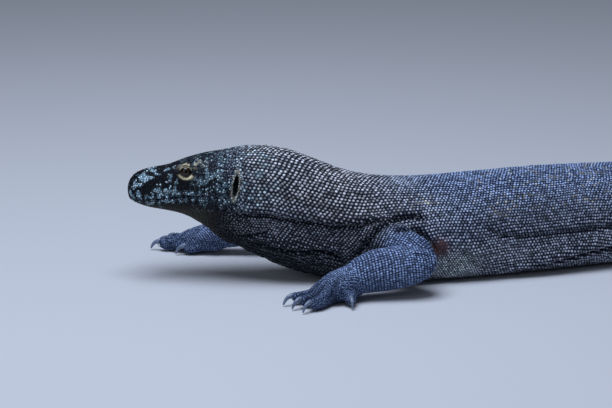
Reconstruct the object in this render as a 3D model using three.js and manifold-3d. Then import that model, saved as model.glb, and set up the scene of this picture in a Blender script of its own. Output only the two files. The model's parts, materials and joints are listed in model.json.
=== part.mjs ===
// A Komodo dragon, life size, lying on its belly with its head raised.
// Millimetres, +Z up. The floor is z = 0 and the origin is the middle of the belly's flat.
// The snout points to -X, the tail to +X, and the animal's left side faces -Y.

import * as THREE from "three";
import { mergeVertices } from "three/addons/utils/BufferGeometryUtils.js";
import Module from "manifold-3d";

// ---------------------------------------------------------------- driving dimensions

const GAP = 0.3; // clearance between neighbouring solids

// The line of the back seen from above, from the snout's tip to the tail's tip.
const SPINE_PLAN = [
  [-761, -148],
  [-605, -149],
  [-460, -144],
  [-293, -112],
  [0, 0],
  [263, 98],
  [480, 163],
  [800, 196],
  [1150, 160],
  [1450, 92],
  [1690, 66],
];

// Cross sections along that line. Each row is one named place on the body:
// at: distance from the snout's tip, top and bottom: heights above the floor,
// half: half of the width, widest: height of the widest level,
// crown and keel: roundness above and below it (1 is an ellipse, less is squarer).
// A bottom below zero is pressed flat by the floor.
const SECTIONS = [
  { name: "snout tip", at: 0, top: 157, bottom: 142, half: 9, widest: 149, crown: 1, keel: 1 },
  { name: "rostral scale", at: 4, top: 168, bottom: 134, half: 18, widest: 148, crown: 0.95, keel: 0.95 },
  { name: "nostrils", at: 14, top: 178.5, bottom: 127.5, half: 25, widest: 147, crown: 0.85, keel: 0.9 },
  { name: "snout", at: 37, top: 186.5, bottom: 120, half: 30, widest: 146, crown: 0.8, keel: 0.85 },
  { name: "fore of eyes", at: 64, top: 191, bottom: 115.5, half: 35, widest: 147, crown: 0.8, keel: 0.85 },
  { name: "eyes", at: 95, top: 202, bottom: 108, half: 42, widest: 149, crown: 0.8, keel: 0.85 },
  { name: "temples", at: 125, top: 210.5, bottom: 90, half: 49, widest: 152, crown: 0.82, keel: 0.9 },
  { name: "jaw corner", at: 155, top: 215.5, bottom: 66, half: 53, widest: 152, crown: 0.85, keel: 0.85 },
  { name: "ears", at: 181, top: 221, bottom: 54, half: 54, widest: 150, crown: 0.9, keel: 0.8 },
  { name: "nape", at: 214, top: 224, bottom: 39, half: 56, widest: 140, crown: 0.92, keel: 0.8 },
  { name: "mid neck", at: 262, top: 217.5, bottom: 17, half: 60, widest: 122, crown: 0.95, keel: 0.8 },
  { name: "neck base", at: 318, top: 195.5, bottom: 2, half: 67, widest: 100, crown: 1, keel: 0.75 },
  { name: "collar", at: 370, top: 176, bottom: -2, half: 77, widest: 82, crown: 1, keel: 0.65 },
  { name: "shoulders", at: 440, top: 164.5, bottom: -2, half: 92, widest: 64, crown: 1, keel: 0.52 },
  { name: "chest", at: 560, top: 161.5, bottom: -2, half: 105, widest: 55, crown: 1, keel: 0.54 },
  { name: "mid trunk", at: 760, top: 158, bottom: -2, half: 114, widest: 50, crown: 1, keel: 0.6 },
  { name: "loin", at: 930, top: 149, bottom: -2, half: 100, widest: 47, crown: 1, keel: 0.62 },
  { name: "hips", at: 1060, top: 132, bottom: -2, half: 76, widest: 48, crown: 1, keel: 0.7 },
  { name: "tail root", at: 1170, top: 111, bottom: -2, half: 55, widest: 48, crown: 1.05, keel: 0.8 },
  { name: "tail first quarter", at: 1420, top: 82, bottom: -2, half: 34, widest: 36, crown: 1.1, keel: 0.85 },
  { name: "tail middle", at: 1800, top: 53, bottom: -2, half: 20, widest: 22, crown: 1.15, keel: 0.9 },
  { name: "tail last quarter", at: 2160, top: 32, bottom: -2, half: 12, widest: 13, crown: 1.1, keel: 0.9 },
  { name: "tail tip", at: 2496, top: 9, bottom: -1.5, half: 4, widest: 3.5, crown: 1, keel: 1 },
];

// Rounded swellings and hollows on both sides of the body. at and reach run along the body,
// angle and spread run round the section in degrees from the top, rise is outward.
const SWELLINGS = [
  { name: "brow", at: 94, reach: 17, angle: 40, spread: 14, rise: 3.5 },
  { name: "eye hollow", at: 100, reach: 15, angle: 66, spread: 13, rise: -2.5 },
  { name: "snout flank", at: 58, reach: 22, angle: 62, spread: 18, rise: -1.5 },
  { name: "nostril", at: 14, reach: 9, angle: 50, spread: 22, rise: 1.5 },
  { name: "jaw muscle", at: 150, reach: 24, angle: 92, spread: 26, rise: 4 },
  { name: "temple", at: 128, reach: 20, angle: 45, spread: 18, rise: 2 },
  { name: "throat fold", at: 250, reach: 60, angle: 118, spread: 12, rise: 4 },
  { name: "shoulder blade", at: 430, reach: 45, angle: 50, spread: 22, rise: 5 },
  { name: "hip", at: 1050, reach: 38, angle: 50, spread: 24, rise: 6 },
];

// Where the long body is parted, from the snout's tip, and how finely each length is made.
const BODY_LENGTHS = [
  { name: "neck", from: 196, to: 392, rows: 10, around: 26 },
  { name: "trunk", from: 392, to: 1120, rows: 20, around: 26 },
  { name: "tail_root", from: 1120, to: 1400, rows: 8, around: 16 },
  { name: "tail_mid", from: 1400, to: 1780, rows: 8, around: 14 },
  { name: "tail_rear", from: 1780, to: 2160, rows: 8, around: 12 },
  { name: "tail_tip", from: 2160, to: 2496, rows: 8, around: 10 },
];
const HEAD = { to: 196, rows: 20, around: 24, crowding: 1.35 };

// The closed mouth, seen from the side: distance from the snout's tip and height.
const MOUTH_LINE = [
  [-10, 134],
  [10, 136.5],
  [40, 139],
  [90, 146],
  [130, 147],
  [168, 144.5],
];
const JAW_HINGE_FOOT = [136, 60]; // where the cut behind the jaw leaves the throat
const MOUTH_CURVE_POINTS = 16; // for each length between two of the mouth line's points

const EYE = { at: 98, height: 185, lateral: 26.5, radius: 11, around: 10, rows: 8 };

// Limbs. Each length is a tube through its places, with a half width and a half height at
// each one, and rounded ends. The upper length starts inside the body.
const LIMBS = [
  {
    names: ["arm_upper_left", "forearm_left", "hand_left"],
    outer: 1,
    upper: [
      { place: [-394, -156, 97], wide: 34, tall: 33 },
      { place: [-328, -214, 81], wide: 31, tall: 31 },
      { place: [-262, -262, 58], wide: 23, tall: 25 },
    ],
    lower: [
      { place: [-256, -260, 58], wide: 20, tall: 22 },
      { place: [-302, -268, 52], wide: 30, tall: 34 },
      { place: [-352, -272, 46], wide: 32, tall: 37 },
      { place: [-410, -288, 31], wide: 27, tall: 28 },
    ],
    palm: [
      { place: [-366, -276, 36], wide: 26, tall: 27 },
      { place: [-402, -287, 30], wide: 29, tall: 28 },
      { place: [-434, -304, 21], wide: 28, tall: 21 },
      { place: [-464, -322, 14], wide: 24, tall: 13 },
    ],
  },
  {
    names: ["arm_upper_right", "forearm_right", "hand_right"],
    outer: -1,
    upper: [
      { place: [-376, -80, 96], wide: 36, tall: 34 },
      { place: [-450, -36, 78], wide: 31, tall: 31 },
      { place: [-530, 0, 56], wide: 23, tall: 25 },
    ],
    lower: [
      { place: [-482, -12, 62], wide: 20, tall: 22 },
      { place: [-524, -2, 54], wide: 28, tall: 29 },
      { place: [-578, 2, 40], wide: 28, tall: 28 },
      { place: [-634, 6, 27], wide: 26, tall: 24 },
    ],
    palm: [
      { place: [-592, 0, 34], wide: 26, tall: 25 },
      { place: [-628, 6, 28], wide: 29, tall: 25 },
      { place: [-662, 18, 21], wide: 28, tall: 20 },
      { place: [-696, 31, 14], wide: 24, tall: 13 },
    ],
  },
  {
    names: ["thigh_left", "shank_left", "foot_left"],
    outer: 1,
    upper: [
      { place: [248, 86, 74], wide: 48, tall: 46 },
      { place: [254, -8, 72], wide: 44, tall: 43 },
      { place: [262, -106, 58], wide: 29, tall: 30 },
    ],
    lower: [
      { place: [246, -88, 60], wide: 24, tall: 25 },
      { place: [290, -102, 52], wide: 29, tall: 30 },
      { place: [338, -126, 37], wide: 25, tall: 26 },
      { place: [388, -158, 25], wide: 22, tall: 22 },
    ],
    palm: [
      { place: [392, -142, 26], wide: 22, tall: 22 },
      { place: [368, -164, 25], wide: 27, tall: 23 },
      { place: [344, -190, 19], wide: 29, tall: 19 },
      { place: [320, -216, 13], wide: 24, tall: 13 },
    ],
  },
  {
    names: ["thigh_right", "shank_right", "foot_right"],
    outer: -1,
    upper: [
      { place: [256, 106, 74], wide: 48, tall: 46 },
      { place: [216, 198, 72], wide: 44, tall: 43 },
      { place: [156, 286, 58], wide: 29, tall: 30 },
    ],
    lower: [
      { place: [152, 262, 60], wide: 24, tall: 25 },
      { place: [190, 292, 52], wide: 29, tall: 30 },
      { place: [230, 330, 37], wide: 25, tall: 26 },
      { place: [276, 376, 25], wide: 22, tall: 22 },
    ],
    palm: [
      { place: [284, 362, 26], wide: 22, tall: 22 },
      { place: [252, 372, 25], wide: 27, tall: 23 },
      { place: [222, 386, 19], wide: 29, tall: 19 },
      { place: [192, 401, 13], wide: 24, tall: 13 },
    ],
  },
];
const LIMB_AROUND = 12;
const LIMB_ROWS = { upper: 8, lower: 8, palm: 6 };
const LIMB_ROUNDING = [0.22, 0.22]; // shares of a length over which its two ends round off

// Digits, measured from the wrist or ankle: first along the foot's heading, then to its outer
// side. base: where the digit starts inside the palm, tip: where its claw ends.
const HAND_DIGITS = [
  { base: [10, -16], tip: [53, -38], thick: 11.5 },
  { base: [26, -14], tip: [107, -19], thick: 12.5 },
  { base: [30, -1], tip: [106, 8], thick: 13 },
  { base: [28, 11], tip: [101, 34], thick: 13 },
  { base: [8, 18], tip: [22, 54], thick: 11.5 },
];
const FOOT_DIGITS = [
  { base: [12, -16], tip: [66, -44], thick: 11.5 },
  { base: [28, -14], tip: [104, -30], thick: 12.5 },
  { base: [32, -1], tip: [128, -3], thick: 13 },
  { base: [30, 11], tip: [140, 28], thick: 13 },
  { base: [8, 18], tip: [54, 60], thick: 11.5 },
];
const DIGIT = {
  around: 6,
  rows: 6,
  places: [1, 0.6, 0.3, 0], // shares of its length from the palm, and its height at each
  heights: [15, 15, 11, 15],
  taper: 0.2, // how much thinner it is at its end
  knuckle: { at: 0.62, reach: 0.1, rise: 0.12 },
  rounding: [0.1, 0.14], // shares of its length over which its two ends round off
};
const CLAW = {
  reach: 15,
  depth: 6.2,
  width: 4.6,
  inside: 6,
  around: 5,
  rows: 4,
  arch: { root: 16, bend: [0.65, 17], drop: [0.2, 10.2], tip: 1.4 }, // heights, two with a share of reach
  taper: 0.92,
  rounding: [0.05, 0.03],
};

// ---------------------------------------------------------------- finishes

const hide = new THREE.MeshStandardMaterial({ color: 0x3d4660, roughness: 0.62, metalness: 0 });
const faceHide = new THREE.MeshStandardMaterial({ color: 0x2c3648, roughness: 0.6, metalness: 0 });
const throatHide = new THREE.MeshStandardMaterial({ color: 0x3a3a40, roughness: 0.7, metalness: 0 });
const limbHide = new THREE.MeshStandardMaterial({ color: 0x3f5374, roughness: 0.6, metalness: 0 });
const clawHorn = new THREE.MeshStandardMaterial({ color: 0x39435c, roughness: 0.3, metalness: 0 });
const eyeball = new THREE.MeshStandardMaterial({ color: 0x14100c, roughness: 0.08, metalness: 0 });

// ---------------------------------------------------------------- closed forms

const wasm = await Module();
wasm.setup();

// A closed skin of rings: place(row, angle) says where each vertex of a sphere goes.
// The first and last rows are single points. What would lie below the floor is flat on it.
function closedForm(around, rows, place) {
  const form = new THREE.SphereGeometry(1, around, rows);
  const positions = form.attributes.position;
  const spot = new THREE.Vector3();
  for (let row = 0; row <= rows; row += 1) {
    for (let column = 0; column <= around; column += 1) {
      const angle = ((column % around) / around) * Math.PI * 2;
      spot.copy(place(row, angle));
      positions.setXYZ(row * (around + 1) + column, spot.x, spot.y, Math.max(spot.z, 0));
    }
  }
  return closed(form);
}

// Only shared positions are kept, and the faces are turned to point outward.
function closed(form) {
  form.deleteAttribute("normal");
  form.deleteAttribute("uv");
  const merged = mergeVertices(form, 1e-4);
  if (signedVolume(merged) < 0) {
    const index = merged.index;
    for (let i = 0; i < index.count; i += 3) {
      const second = index.getX(i + 1);
      index.setX(i + 1, index.getX(i + 2));
      index.setX(i + 2, second);
    }
  }
  return merged;
}

function signedVolume(form) {
  const corners = [new THREE.Vector3(), new THREE.Vector3(), new THREE.Vector3()];
  let sum = 0;
  for (let i = 0; i < form.index.count; i += 3) {
    corners.forEach((corner, k) => {
      corner.fromBufferAttribute(form.attributes.position, form.index.getX(i + k));
    });
    sum += corners[0].dot(corners[1].clone().cross(corners[2]));
  }
  return sum / 6;
}

// The same form with its surface moved outward, for cutting a neighbour with clearance.
function grown(form, by) {
  const bigger = form.clone();
  bigger.computeVertexNormals();
  const { position, normal } = bigger.attributes;
  for (let i = 0; i < position.count; i += 1) {
    position.setXYZ(
      i,
      position.getX(i) + normal.getX(i) * by,
      position.getY(i) + normal.getY(i) * by,
      position.getZ(i) + normal.getZ(i) * by,
    );
  }
  return bigger;
}

function solidOf(form) {
  const bare = closed(form.clone());
  return new wasm.Manifold(
    new wasm.Mesh({
      numProp: 3,
      vertProperties: new Float32Array(bare.attributes.position.array),
      triVerts: new Uint32Array(bare.index.array),
    }),
  );
}

function formOf(solid) {
  const mesh = solid.getMesh();
  const form = new THREE.BufferGeometry();
  form.setAttribute("position", new THREE.BufferAttribute(new Float32Array(mesh.vertProperties), 3));
  form.setIndex(new THREE.BufferAttribute(new Uint32Array(mesh.triVerts), 1));
  return form;
}

// ---------------------------------------------------------------- the long body

const spine = new THREE.CatmullRomCurve3(SPINE_PLAN.map(([x, y]) => new THREE.Vector3(x, y, 0)));
spine.arcLengthDivisions = 800;
const bodyLength = spine.getLength();

const SECTION_SIZES = ["top", "bottom", "half", "widest", "crown", "keel"];
const sections = new THREE.CubicInterpolant(
  SECTIONS.map((section) => section.at),
  SECTIONS.flatMap((section) => SECTION_SIZES.map((size) => section[size])),
  SECTION_SIZES.length,
);

function sectionAt(at) {
  const values = sections.evaluate(at);
  return Object.fromEntries(SECTION_SIZES.map((size, i) => [size, values[i]]));
}

// A point in the body's own terms: along the spine, out to the left, and up.
function onSpine(at, left, up) {
  const along = THREE.MathUtils.clamp(at / bodyLength, 0, 1);
  const middle = spine.getPointAt(along);
  const heading = spine.getTangentAt(along);
  return new THREE.Vector3(middle.x + heading.y * left, middle.y - heading.x * left, up);
}

function bell(distance, width) {
  return Math.exp(-((distance / width) ** 2));
}

// How far the surface swells at a place, angle in degrees from the top on either side.
function swellingAt(at, angle) {
  const sum = (total, s) => total + s.rise * bell(at - s.at, s.reach) * bell(angle - s.angle, s.spread);
  return SWELLINGS.reduce(sum, 0);
}

// The body's surface. angle is 0 at the top and turns towards the left side.
function bodySurface(at, angle) {
  const section = sectionAt(at);
  const upward = Math.cos(angle);
  const sideways = Math.sin(angle);
  const roundness = upward > 0 ? section.crown : section.keel;
  const rise = upward > 0 ? section.top - section.widest : section.widest - section.bottom;
  const fromTop = THREE.MathUtils.radToDeg(Math.acos(THREE.MathUtils.clamp(upward, -1, 1)));
  const swelling = swellingAt(at, fromTop);
  const left = Math.sign(sideways) * (section.half * Math.abs(sideways) ** roundness);
  const up = section.widest + Math.sign(upward) * rise * Math.abs(upward) ** roundness;
  return onSpine(at, left + sideways * swelling, up + upward * swelling);
}

function bodyLengthForm({ from, to, rows, around }) {
  const place = (row, angle) => {
    const at = from + (to - from) * THREE.MathUtils.clamp((row - 1) / (rows - 2), 0, 1);
    if (row > 0 && row < rows) {
      return bodySurface(at, angle);
    }
    const { top, bottom } = sectionAt(at);
    return onSpine(at, 0, (top + bottom) / 2);
  };
  return closedForm(around, rows, place);
}

// The head's rows crowd towards the snout, where its outline turns fastest.
function headForm() {
  const place = (row, angle) => {
    const share = THREE.MathUtils.clamp((row - 1) / (HEAD.rows - 2), 0, 1);
    const at = HEAD.to * share ** HEAD.crowding;
    if (row > 0 && row < HEAD.rows) {
      return bodySurface(at, angle);
    }
    const { top, bottom } = sectionAt(at);
    return onSpine(at, 0, (top + bottom) / 2);
  };
  return closedForm(HEAD.around, HEAD.rows, place);
}

// ---------------------------------------------------------------- head, jaw and eyes

// The region of the lower jaw: under the mouth line and ahead of the cut to the throat.
function jawRegion(clearance) {
  const mouth = new THREE.SplineCurve(MOUTH_LINE.map(([at, up]) => new THREE.Vector2(at, up - clearance)));
  const corner = MOUTH_LINE.at(-1);
  const outline = mouth.getPoints(MOUTH_CURVE_POINTS).filter((point) => point.x < corner[0] - clearance);
  const slopeShift = clearance * 1.5; // the cut behind the jaw slopes, so it moves further
  const shape = new THREE.Shape([
    ...outline,
    new THREE.Vector2(corner[0] - slopeShift, corner[1] - clearance),
    new THREE.Vector2(JAW_HINGE_FOOT[0] - slopeShift, JAW_HINGE_FOOT[1]),
    new THREE.Vector2(MOUTH_LINE[0][0], JAW_HINGE_FOOT[1]),
  ]);
  const acrossHead = 200;
  const region = new THREE.ExtrudeGeometry(shape, { depth: acrossHead, bevelEnabled: false });
  region.rotateX(Math.PI / 2);
  region.translate(SPINE_PLAN[0][0], SPINE_PLAN[0][1] + acrossHead / 2, 0);
  return solidOf(region);
}

function eyeForm(side) {
  const ball = new THREE.SphereGeometry(EYE.radius, EYE.around, EYE.rows);
  const centre = onSpine(EYE.at, side * EYE.lateral, EYE.height);
  return closed(ball.translate(centre.x, centre.y, centre.z));
}

// ---------------------------------------------------------------- limbs

// A tube along a path whose half sizes are given by a function of its share, from 0 to 1.
// The rows crowd towards the ends, where the tube rounds off.
function tube(path, halfSizes, around, rows) {
  const up = new THREE.Vector3(0, 0, 1);
  const place = (row, angle) => {
    const share = (1 - Math.cos((row / rows) * Math.PI)) / 2;
    const centre = path.getPoint(share);
    const side = path.getTangent(share).cross(up).normalize();
    const rise = side.clone().cross(path.getTangent(share)).normalize();
    const [wide, tall] = halfSizes(share);
    centre.addScaledVector(side, Math.cos(angle) * wide);
    return centre.addScaledVector(rise, Math.sin(angle) * tall);
  };
  return closedForm(around, rows, place);
}

// How much of its full size a tube has near an end that rounds off over a share of it.
function roundedEnd(distance, over) {
  return Math.sqrt(Math.max(0, 1 - Math.max(0, 1 - distance / over) ** 2));
}

function roundedEnds(share, [start, end]) {
  return roundedEnd(share, start) * roundedEnd(1 - share, end);
}

function limbForm(joints, rows) {
  const path = new THREE.CatmullRomCurve3(joints.map((joint) => new THREE.Vector3(...joint.place)));
  const sizes = new THREE.CubicInterpolant(
    joints.map((joint, i) => i / (joints.length - 1)),
    joints.flatMap((joint) => [joint.wide, joint.tall]),
    2,
  );
  const halfSizes = (share) => {
    const rounding = roundedEnds(share, LIMB_ROUNDING);
    return Array.from(sizes.evaluate(share), (size) => size * rounding);
  };
  return tube(path, halfSizes, LIMB_AROUND, rows);
}

// ---------------------------------------------------------------- digits and claws

// The foot's own frame: a wrist or ankle, the way the foot points, and its outer side.
function footFrame(palm, outer) {
  const wrist = new THREE.Vector2(...palm[1].place);
  const heading = new THREE.Vector2(...palm.at(-1).place).sub(wrist).normalize();
  const outward = new THREE.Vector2(-heading.y, heading.x).multiplyScalar(outer);
  return ([forward, out], up) => {
    const spot = wrist.clone().addScaledVector(heading, forward).addScaledVector(outward, out);
    return new THREE.Vector3(spot.x, spot.y, up);
  };
}

// The place on a digit's plan a given distance short of its claw's tip.
function shortOfTip({ base, tip }, distance) {
  const length = Math.hypot(tip[0] - base[0], tip[1] - base[1]);
  const share = 1 - distance / length;
  return [base[0] + (tip[0] - base[0]) * share, base[1] + (tip[1] - base[1]) * share];
}

function digitForm(inFoot, digit) {
  const length = Math.hypot(digit.tip[0] - digit.base[0], digit.tip[1] - digit.base[1]) - CLAW.reach;
  const places = DIGIT.places.map((share) => shortOfTip(digit, CLAW.reach + share * length));
  const path = new THREE.CatmullRomCurve3(places.map((place, i) => inFoot(place, DIGIT.heights[i])));
  const halfSizes = (share) => {
    const { at, reach, rise } = DIGIT.knuckle;
    const thickness = digit.thick * (1 + rise * bell(share - at, reach) - DIGIT.taper * share);
    const radius = thickness * roundedEnds(share, DIGIT.rounding);
    return [radius, radius];
  };
  return tube(path, halfSizes, DIGIT.around, DIGIT.rows);
}

// A claw leaves its digit level and curves down to the floor.
function clawForm(inFoot, digit) {
  const { root, bend, drop, tip } = CLAW.arch;
  const path = new THREE.CatmullRomCurve3([
    inFoot(shortOfTip(digit, CLAW.reach + CLAW.inside), root),
    inFoot(shortOfTip(digit, CLAW.reach * bend[0]), bend[1]),
    inFoot(shortOfTip(digit, CLAW.reach * drop[0]), drop[1]),
    inFoot(digit.tip, tip),
  ]);
  const halfSizes = (share) => {
    const taper = (1 - share * CLAW.taper) * roundedEnds(share, CLAW.rounding);
    return [CLAW.width * taper, CLAW.depth * taper];
  };
  return tube(path, halfSizes, CLAW.around, CLAW.rows);
}

// ---------------------------------------------------------------- the animal

const dragon = new THREE.Group();
dragon.name = "komodo_dragon";

function add(name, solid, material) {
  const mesh = new THREE.Mesh(formOf(solid), material);
  mesh.name = name;
  dragon.add(mesh);
}

// The body's lengths.
for (const length of BODY_LENGTHS) {
  const parted = { ...length, from: length.from + GAP / 2, to: length.to - GAP / 2 };
  add(length.name, solidOf(bodyLengthForm(parted)), hide);
}

// The head, with sockets for the eyes, and the lower jaw parted along the mouth.
const eyeForms = { left: eyeForm(1), right: eyeForm(-1) };
let skull = solidOf(headForm());
for (const ball of Object.values(eyeForms)) {
  skull = skull.subtract(solidOf(grown(ball, GAP)));
}
add("head", skull.subtract(jawRegion(0)), faceHide);
add("lower_jaw", skull.intersect(jawRegion(GAP)), throatHide);
for (const [side, ball] of Object.entries(eyeForms)) {
  add(`eye_${side}`, solidOf(ball), eyeball);
}

// The neck, trunk and tail root again, a little larger and joined, to cut each limb's root.
const LIMBED_LENGTHS = 3;
const OVERLAP = 1;
const bodyWithClearance = BODY_LENGTHS.slice(0, LIMBED_LENGTHS)
  .map((length) => ({ ...length, from: length.from - OVERLAP, to: length.to + OVERLAP }))
  .map((length) => solidOf(grown(bodyLengthForm(length), GAP)))
  .reduce((whole, length) => whole.add(length));

// A cut can leave slivers beside the piece it is meant to leave.
function largest(solid) {
  return solid.decompose().reduce((best, piece) => (piece.volume() > best.volume() ? piece : best));
}

for (const { names, outer, upper, lower, palm } of LIMBS) {
  const [upperName, lowerName, palmName] = names;
  const digits = palmName.startsWith("hand") ? HAND_DIGITS : FOOT_DIGITS;
  const upperForm = limbForm(upper, LIMB_ROWS.upper);
  const lowerForm = limbForm(lower, LIMB_ROWS.lower);
  const palmForm = limbForm(palm, LIMB_ROWS.palm);

  const inFoot = footFrame(palm, outer);
  const toes = digits.map((digit) => digitForm(inFoot, digit));
  const hand = toes.reduce((whole, toe) => whole.add(solidOf(toe)), solidOf(palmForm));

  const lowerSolid = solidOf(lowerForm)
    .subtract(solidOf(grown(upperForm, GAP)))
    .subtract(solidOf(grown(palmForm, GAP)))
    .subtract(bodyWithClearance);
  add(upperName, largest(solidOf(upperForm).subtract(bodyWithClearance)), limbHide);
  add(lowerName, largest(lowerSolid), limbHide);
  add(palmName, hand, limbHide);
  const handCut = [palmForm, ...toes].map((form) => solidOf(grown(form, GAP)));
  digits.forEach((digit, i) => {
    const claw = handCut.reduce((rest, cutter) => rest.subtract(cutter), solidOf(clawForm(inFoot, digit)));
    add(`claw_${palmName}_${i + 1}`, largest(claw), clawHorn);
  });
}

export default dragon;
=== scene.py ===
# %% [markdown]
# # A Komodo dragon at rest
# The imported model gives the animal's true outline as plain solids, parted where a person
# would name its parts. This script dresses it. One skin covers all the flesh, folded and
# creased as a loose lizard's skin is. Thousands of small bony beads lie over the skin in
# rows, and the eyes, lids and claws are pieces of their own.

# %% The fixed frame, and the box that the animal has to stay in
import json
from math import cos, pi, radians, sin

import bpy
import numpy as np
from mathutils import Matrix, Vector, kdtree
from mathutils.bvhtree import BVHTree

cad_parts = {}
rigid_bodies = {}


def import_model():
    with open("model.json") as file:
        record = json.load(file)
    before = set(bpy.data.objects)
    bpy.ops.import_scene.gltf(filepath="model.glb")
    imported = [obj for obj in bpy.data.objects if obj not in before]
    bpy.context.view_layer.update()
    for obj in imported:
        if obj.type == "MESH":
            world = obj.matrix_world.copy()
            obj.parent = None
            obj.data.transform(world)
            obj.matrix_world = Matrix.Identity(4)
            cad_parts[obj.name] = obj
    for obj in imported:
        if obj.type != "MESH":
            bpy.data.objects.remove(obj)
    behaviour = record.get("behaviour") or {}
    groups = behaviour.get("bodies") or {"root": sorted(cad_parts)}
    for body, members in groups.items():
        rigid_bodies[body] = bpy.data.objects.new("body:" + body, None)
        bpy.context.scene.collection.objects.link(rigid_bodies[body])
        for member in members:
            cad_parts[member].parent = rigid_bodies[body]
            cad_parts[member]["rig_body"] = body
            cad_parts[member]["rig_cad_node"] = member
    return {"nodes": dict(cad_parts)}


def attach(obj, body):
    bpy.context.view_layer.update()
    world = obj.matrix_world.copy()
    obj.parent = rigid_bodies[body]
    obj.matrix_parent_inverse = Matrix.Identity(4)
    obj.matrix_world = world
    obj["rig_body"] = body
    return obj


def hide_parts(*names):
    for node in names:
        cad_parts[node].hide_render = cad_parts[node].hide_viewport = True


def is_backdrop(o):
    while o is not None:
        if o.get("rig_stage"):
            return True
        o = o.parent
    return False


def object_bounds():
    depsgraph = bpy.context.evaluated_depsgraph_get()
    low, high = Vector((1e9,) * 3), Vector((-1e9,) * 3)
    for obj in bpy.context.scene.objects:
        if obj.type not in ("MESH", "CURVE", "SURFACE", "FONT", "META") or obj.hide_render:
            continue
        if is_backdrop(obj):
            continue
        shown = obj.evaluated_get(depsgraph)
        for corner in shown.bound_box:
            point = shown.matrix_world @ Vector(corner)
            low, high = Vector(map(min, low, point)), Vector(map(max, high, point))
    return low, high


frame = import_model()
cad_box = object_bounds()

bpy.ops.object.select_all(action="DESELECT")
print("nodes", len(frame["nodes"]), "box", [round(c, 3) for corner in cad_box for c in corner])

# %% [markdown]
# ## Camera
# The animal is seen from its left side, from a little above its own height, through a long
# lens that flattens it. The camera stands where one pixel of a 612 by 408 image is about
# 1.6 mm at the near flank.

# %% Camera
MM = 0.001  # metres in a millimetre: sizes below are in millimetres
IMAGE_WIDTH = 612
FOCAL_PIXELS = 2500
SENSOR_WIDTH = 36
CAMERA_HEIGHT_ANGLE = 14
CAMERA_DISTANCE = 4100
AIM = Vector((-468.3, -148, 124.3))
FARTHEST_SEEN = 50  # metres

bpy.ops.object.camera_add()
camera = bpy.context.object
camera.data.lens = FOCAL_PIXELS / IMAGE_WIDTH * SENSOR_WIDTH
camera.data.sensor_width = SENSOR_WIDTH
camera.data.clip_end = FARTHEST_SEEN
tilt = radians(CAMERA_HEIGHT_ANGLE)
camera.location = (AIM + Vector((0, -cos(tilt), sin(tilt))) * CAMERA_DISTANCE) * MM
camera.rotation_euler = (pi / 2 - tilt, 0, 0)
bpy.context.scene.camera = camera
print("camera", [round(c, 3) for c in camera.location], "lens", round(camera.data.lens, 1))

# %% [markdown]
# ## Materials
# Every colour is written as it looks on a screen and turned to the linear value that a
# shader works with. One function adds a node, sets it and links it, so that each material
# below reads as a list of what it is made of.

# %% Colour and node helpers


def linear(hex_colour):
    """A colour written as RRGGBB, as the four linear numbers that a shader takes."""
    shares = [int(hex_colour[i:i + 2], 16) / 255 for i in (0, 2, 4)]
    return [s / 12.92 if s <= 0.04045 else ((s + 0.055) / 1.055) ** 2.4 for s in shares] + [1.0]


def add_node(material, kind, settings=None, inputs=None):
    """Adds one node. A value in inputs is a number, a colour or another node's output."""
    node = material.node_tree.nodes.new("ShaderNode" + kind)
    for name, value in (settings or {}).items():
        setattr(node, name, value)
    for name, value in (inputs or {}).items():
        if isinstance(value, bpy.types.NodeSocket):
            material.node_tree.links.new(value, node.inputs[name])
        else:
            node.inputs[name].default_value = value
    return node


def new_material(name, roughness, ior):
    """A material with its one surface shader, which is returned with it."""
    material = bpy.data.materials.new(name)
    material.use_nodes = True
    shader = material.node_tree.nodes["Principled BSDF"]
    shader.inputs["Roughness"].default_value = roughness
    shader.inputs["IOR"].default_value = ior
    return material, shader


# %% [markdown]
# ## Floor and light
# The floor is a plain pale sheet. A wide soft lamp hangs overhead and a little in front, as
# open sky does over an animal in the shade, and it leaves the underside of the neck dark.

# %% Floor
FLOOR_WIDTH = 40
bpy.ops.mesh.primitive_plane_add(size=FLOOR_WIDTH, location=(0, 0, 0))
floor = bpy.context.object
floor.name = "floor"
pale_paper, paper_shader = new_material("pale_matt_paper", 0.9, 1.45)
paper_shader.inputs["Base Color"].default_value = linear("C9CDD4")
floor.data.materials.append(pale_paper)
floor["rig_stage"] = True
print("floor", FLOOR_WIDTH, "m wide")

# %% Lamps


def add_lamp(name, place, aim, size, watts, colour):
    """A square soft lamp at a place, turned to face what it lights."""
    bpy.ops.object.light_add(type="AREA", location=place)
    lamp = bpy.context.object
    lamp.name = name
    lamp.data.size = size
    lamp.data.energy = watts
    lamp.data.color = linear(colour)[:3]
    lamp.rotation_euler = (Vector(aim) - Vector(place)).to_track_quat("-Z", "Y").to_euler()
    return lamp


add_lamp("sky_lamp", (-0.9, -0.7, 3.2), (-0.3, -0.1, 0.0), 2.2, 112, "E6EEFF")
add_lamp("front_lamp", (-2.2, -3.0, 1.6), (-0.4, -0.1, 0.1), 1.6, 10, "F2F5FF")
world = bpy.data.worlds.new("studio")
bpy.context.scene.world = world
world.use_nodes = True
world.node_tree.nodes["Background"].inputs["Color"].default_value = linear("DDE6F5")
world.node_tree.nodes["Background"].inputs["Strength"].default_value = 0.13
bpy.context.scene.view_settings.view_transform = "Standard"
bpy.ops.object.select_all(action="DESELECT")

# %% [markdown]
# ## The body's own ruler
# Folds and rows of scales follow the body and not the room, so each point is also told how
# far it lies along the spine from the snout's tip, how far out to the left, and how high.
# The spine seen from above is the curve through the same places as in the solids.

# %% Spine
SPINE_PLAN = np.array([
    [-761, -148], [-605, -149], [-460, -144], [-293, -112], [0, 0], [263, 98],
    [480, 163], [800, 196], [1150, 160], [1450, 92], [1690, 66],
], float)
STEPS_PER_SPAN = 60
ROUNDS_TO_SPINE = 4  # the nearest place on the spine is closed in on this many times


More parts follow.
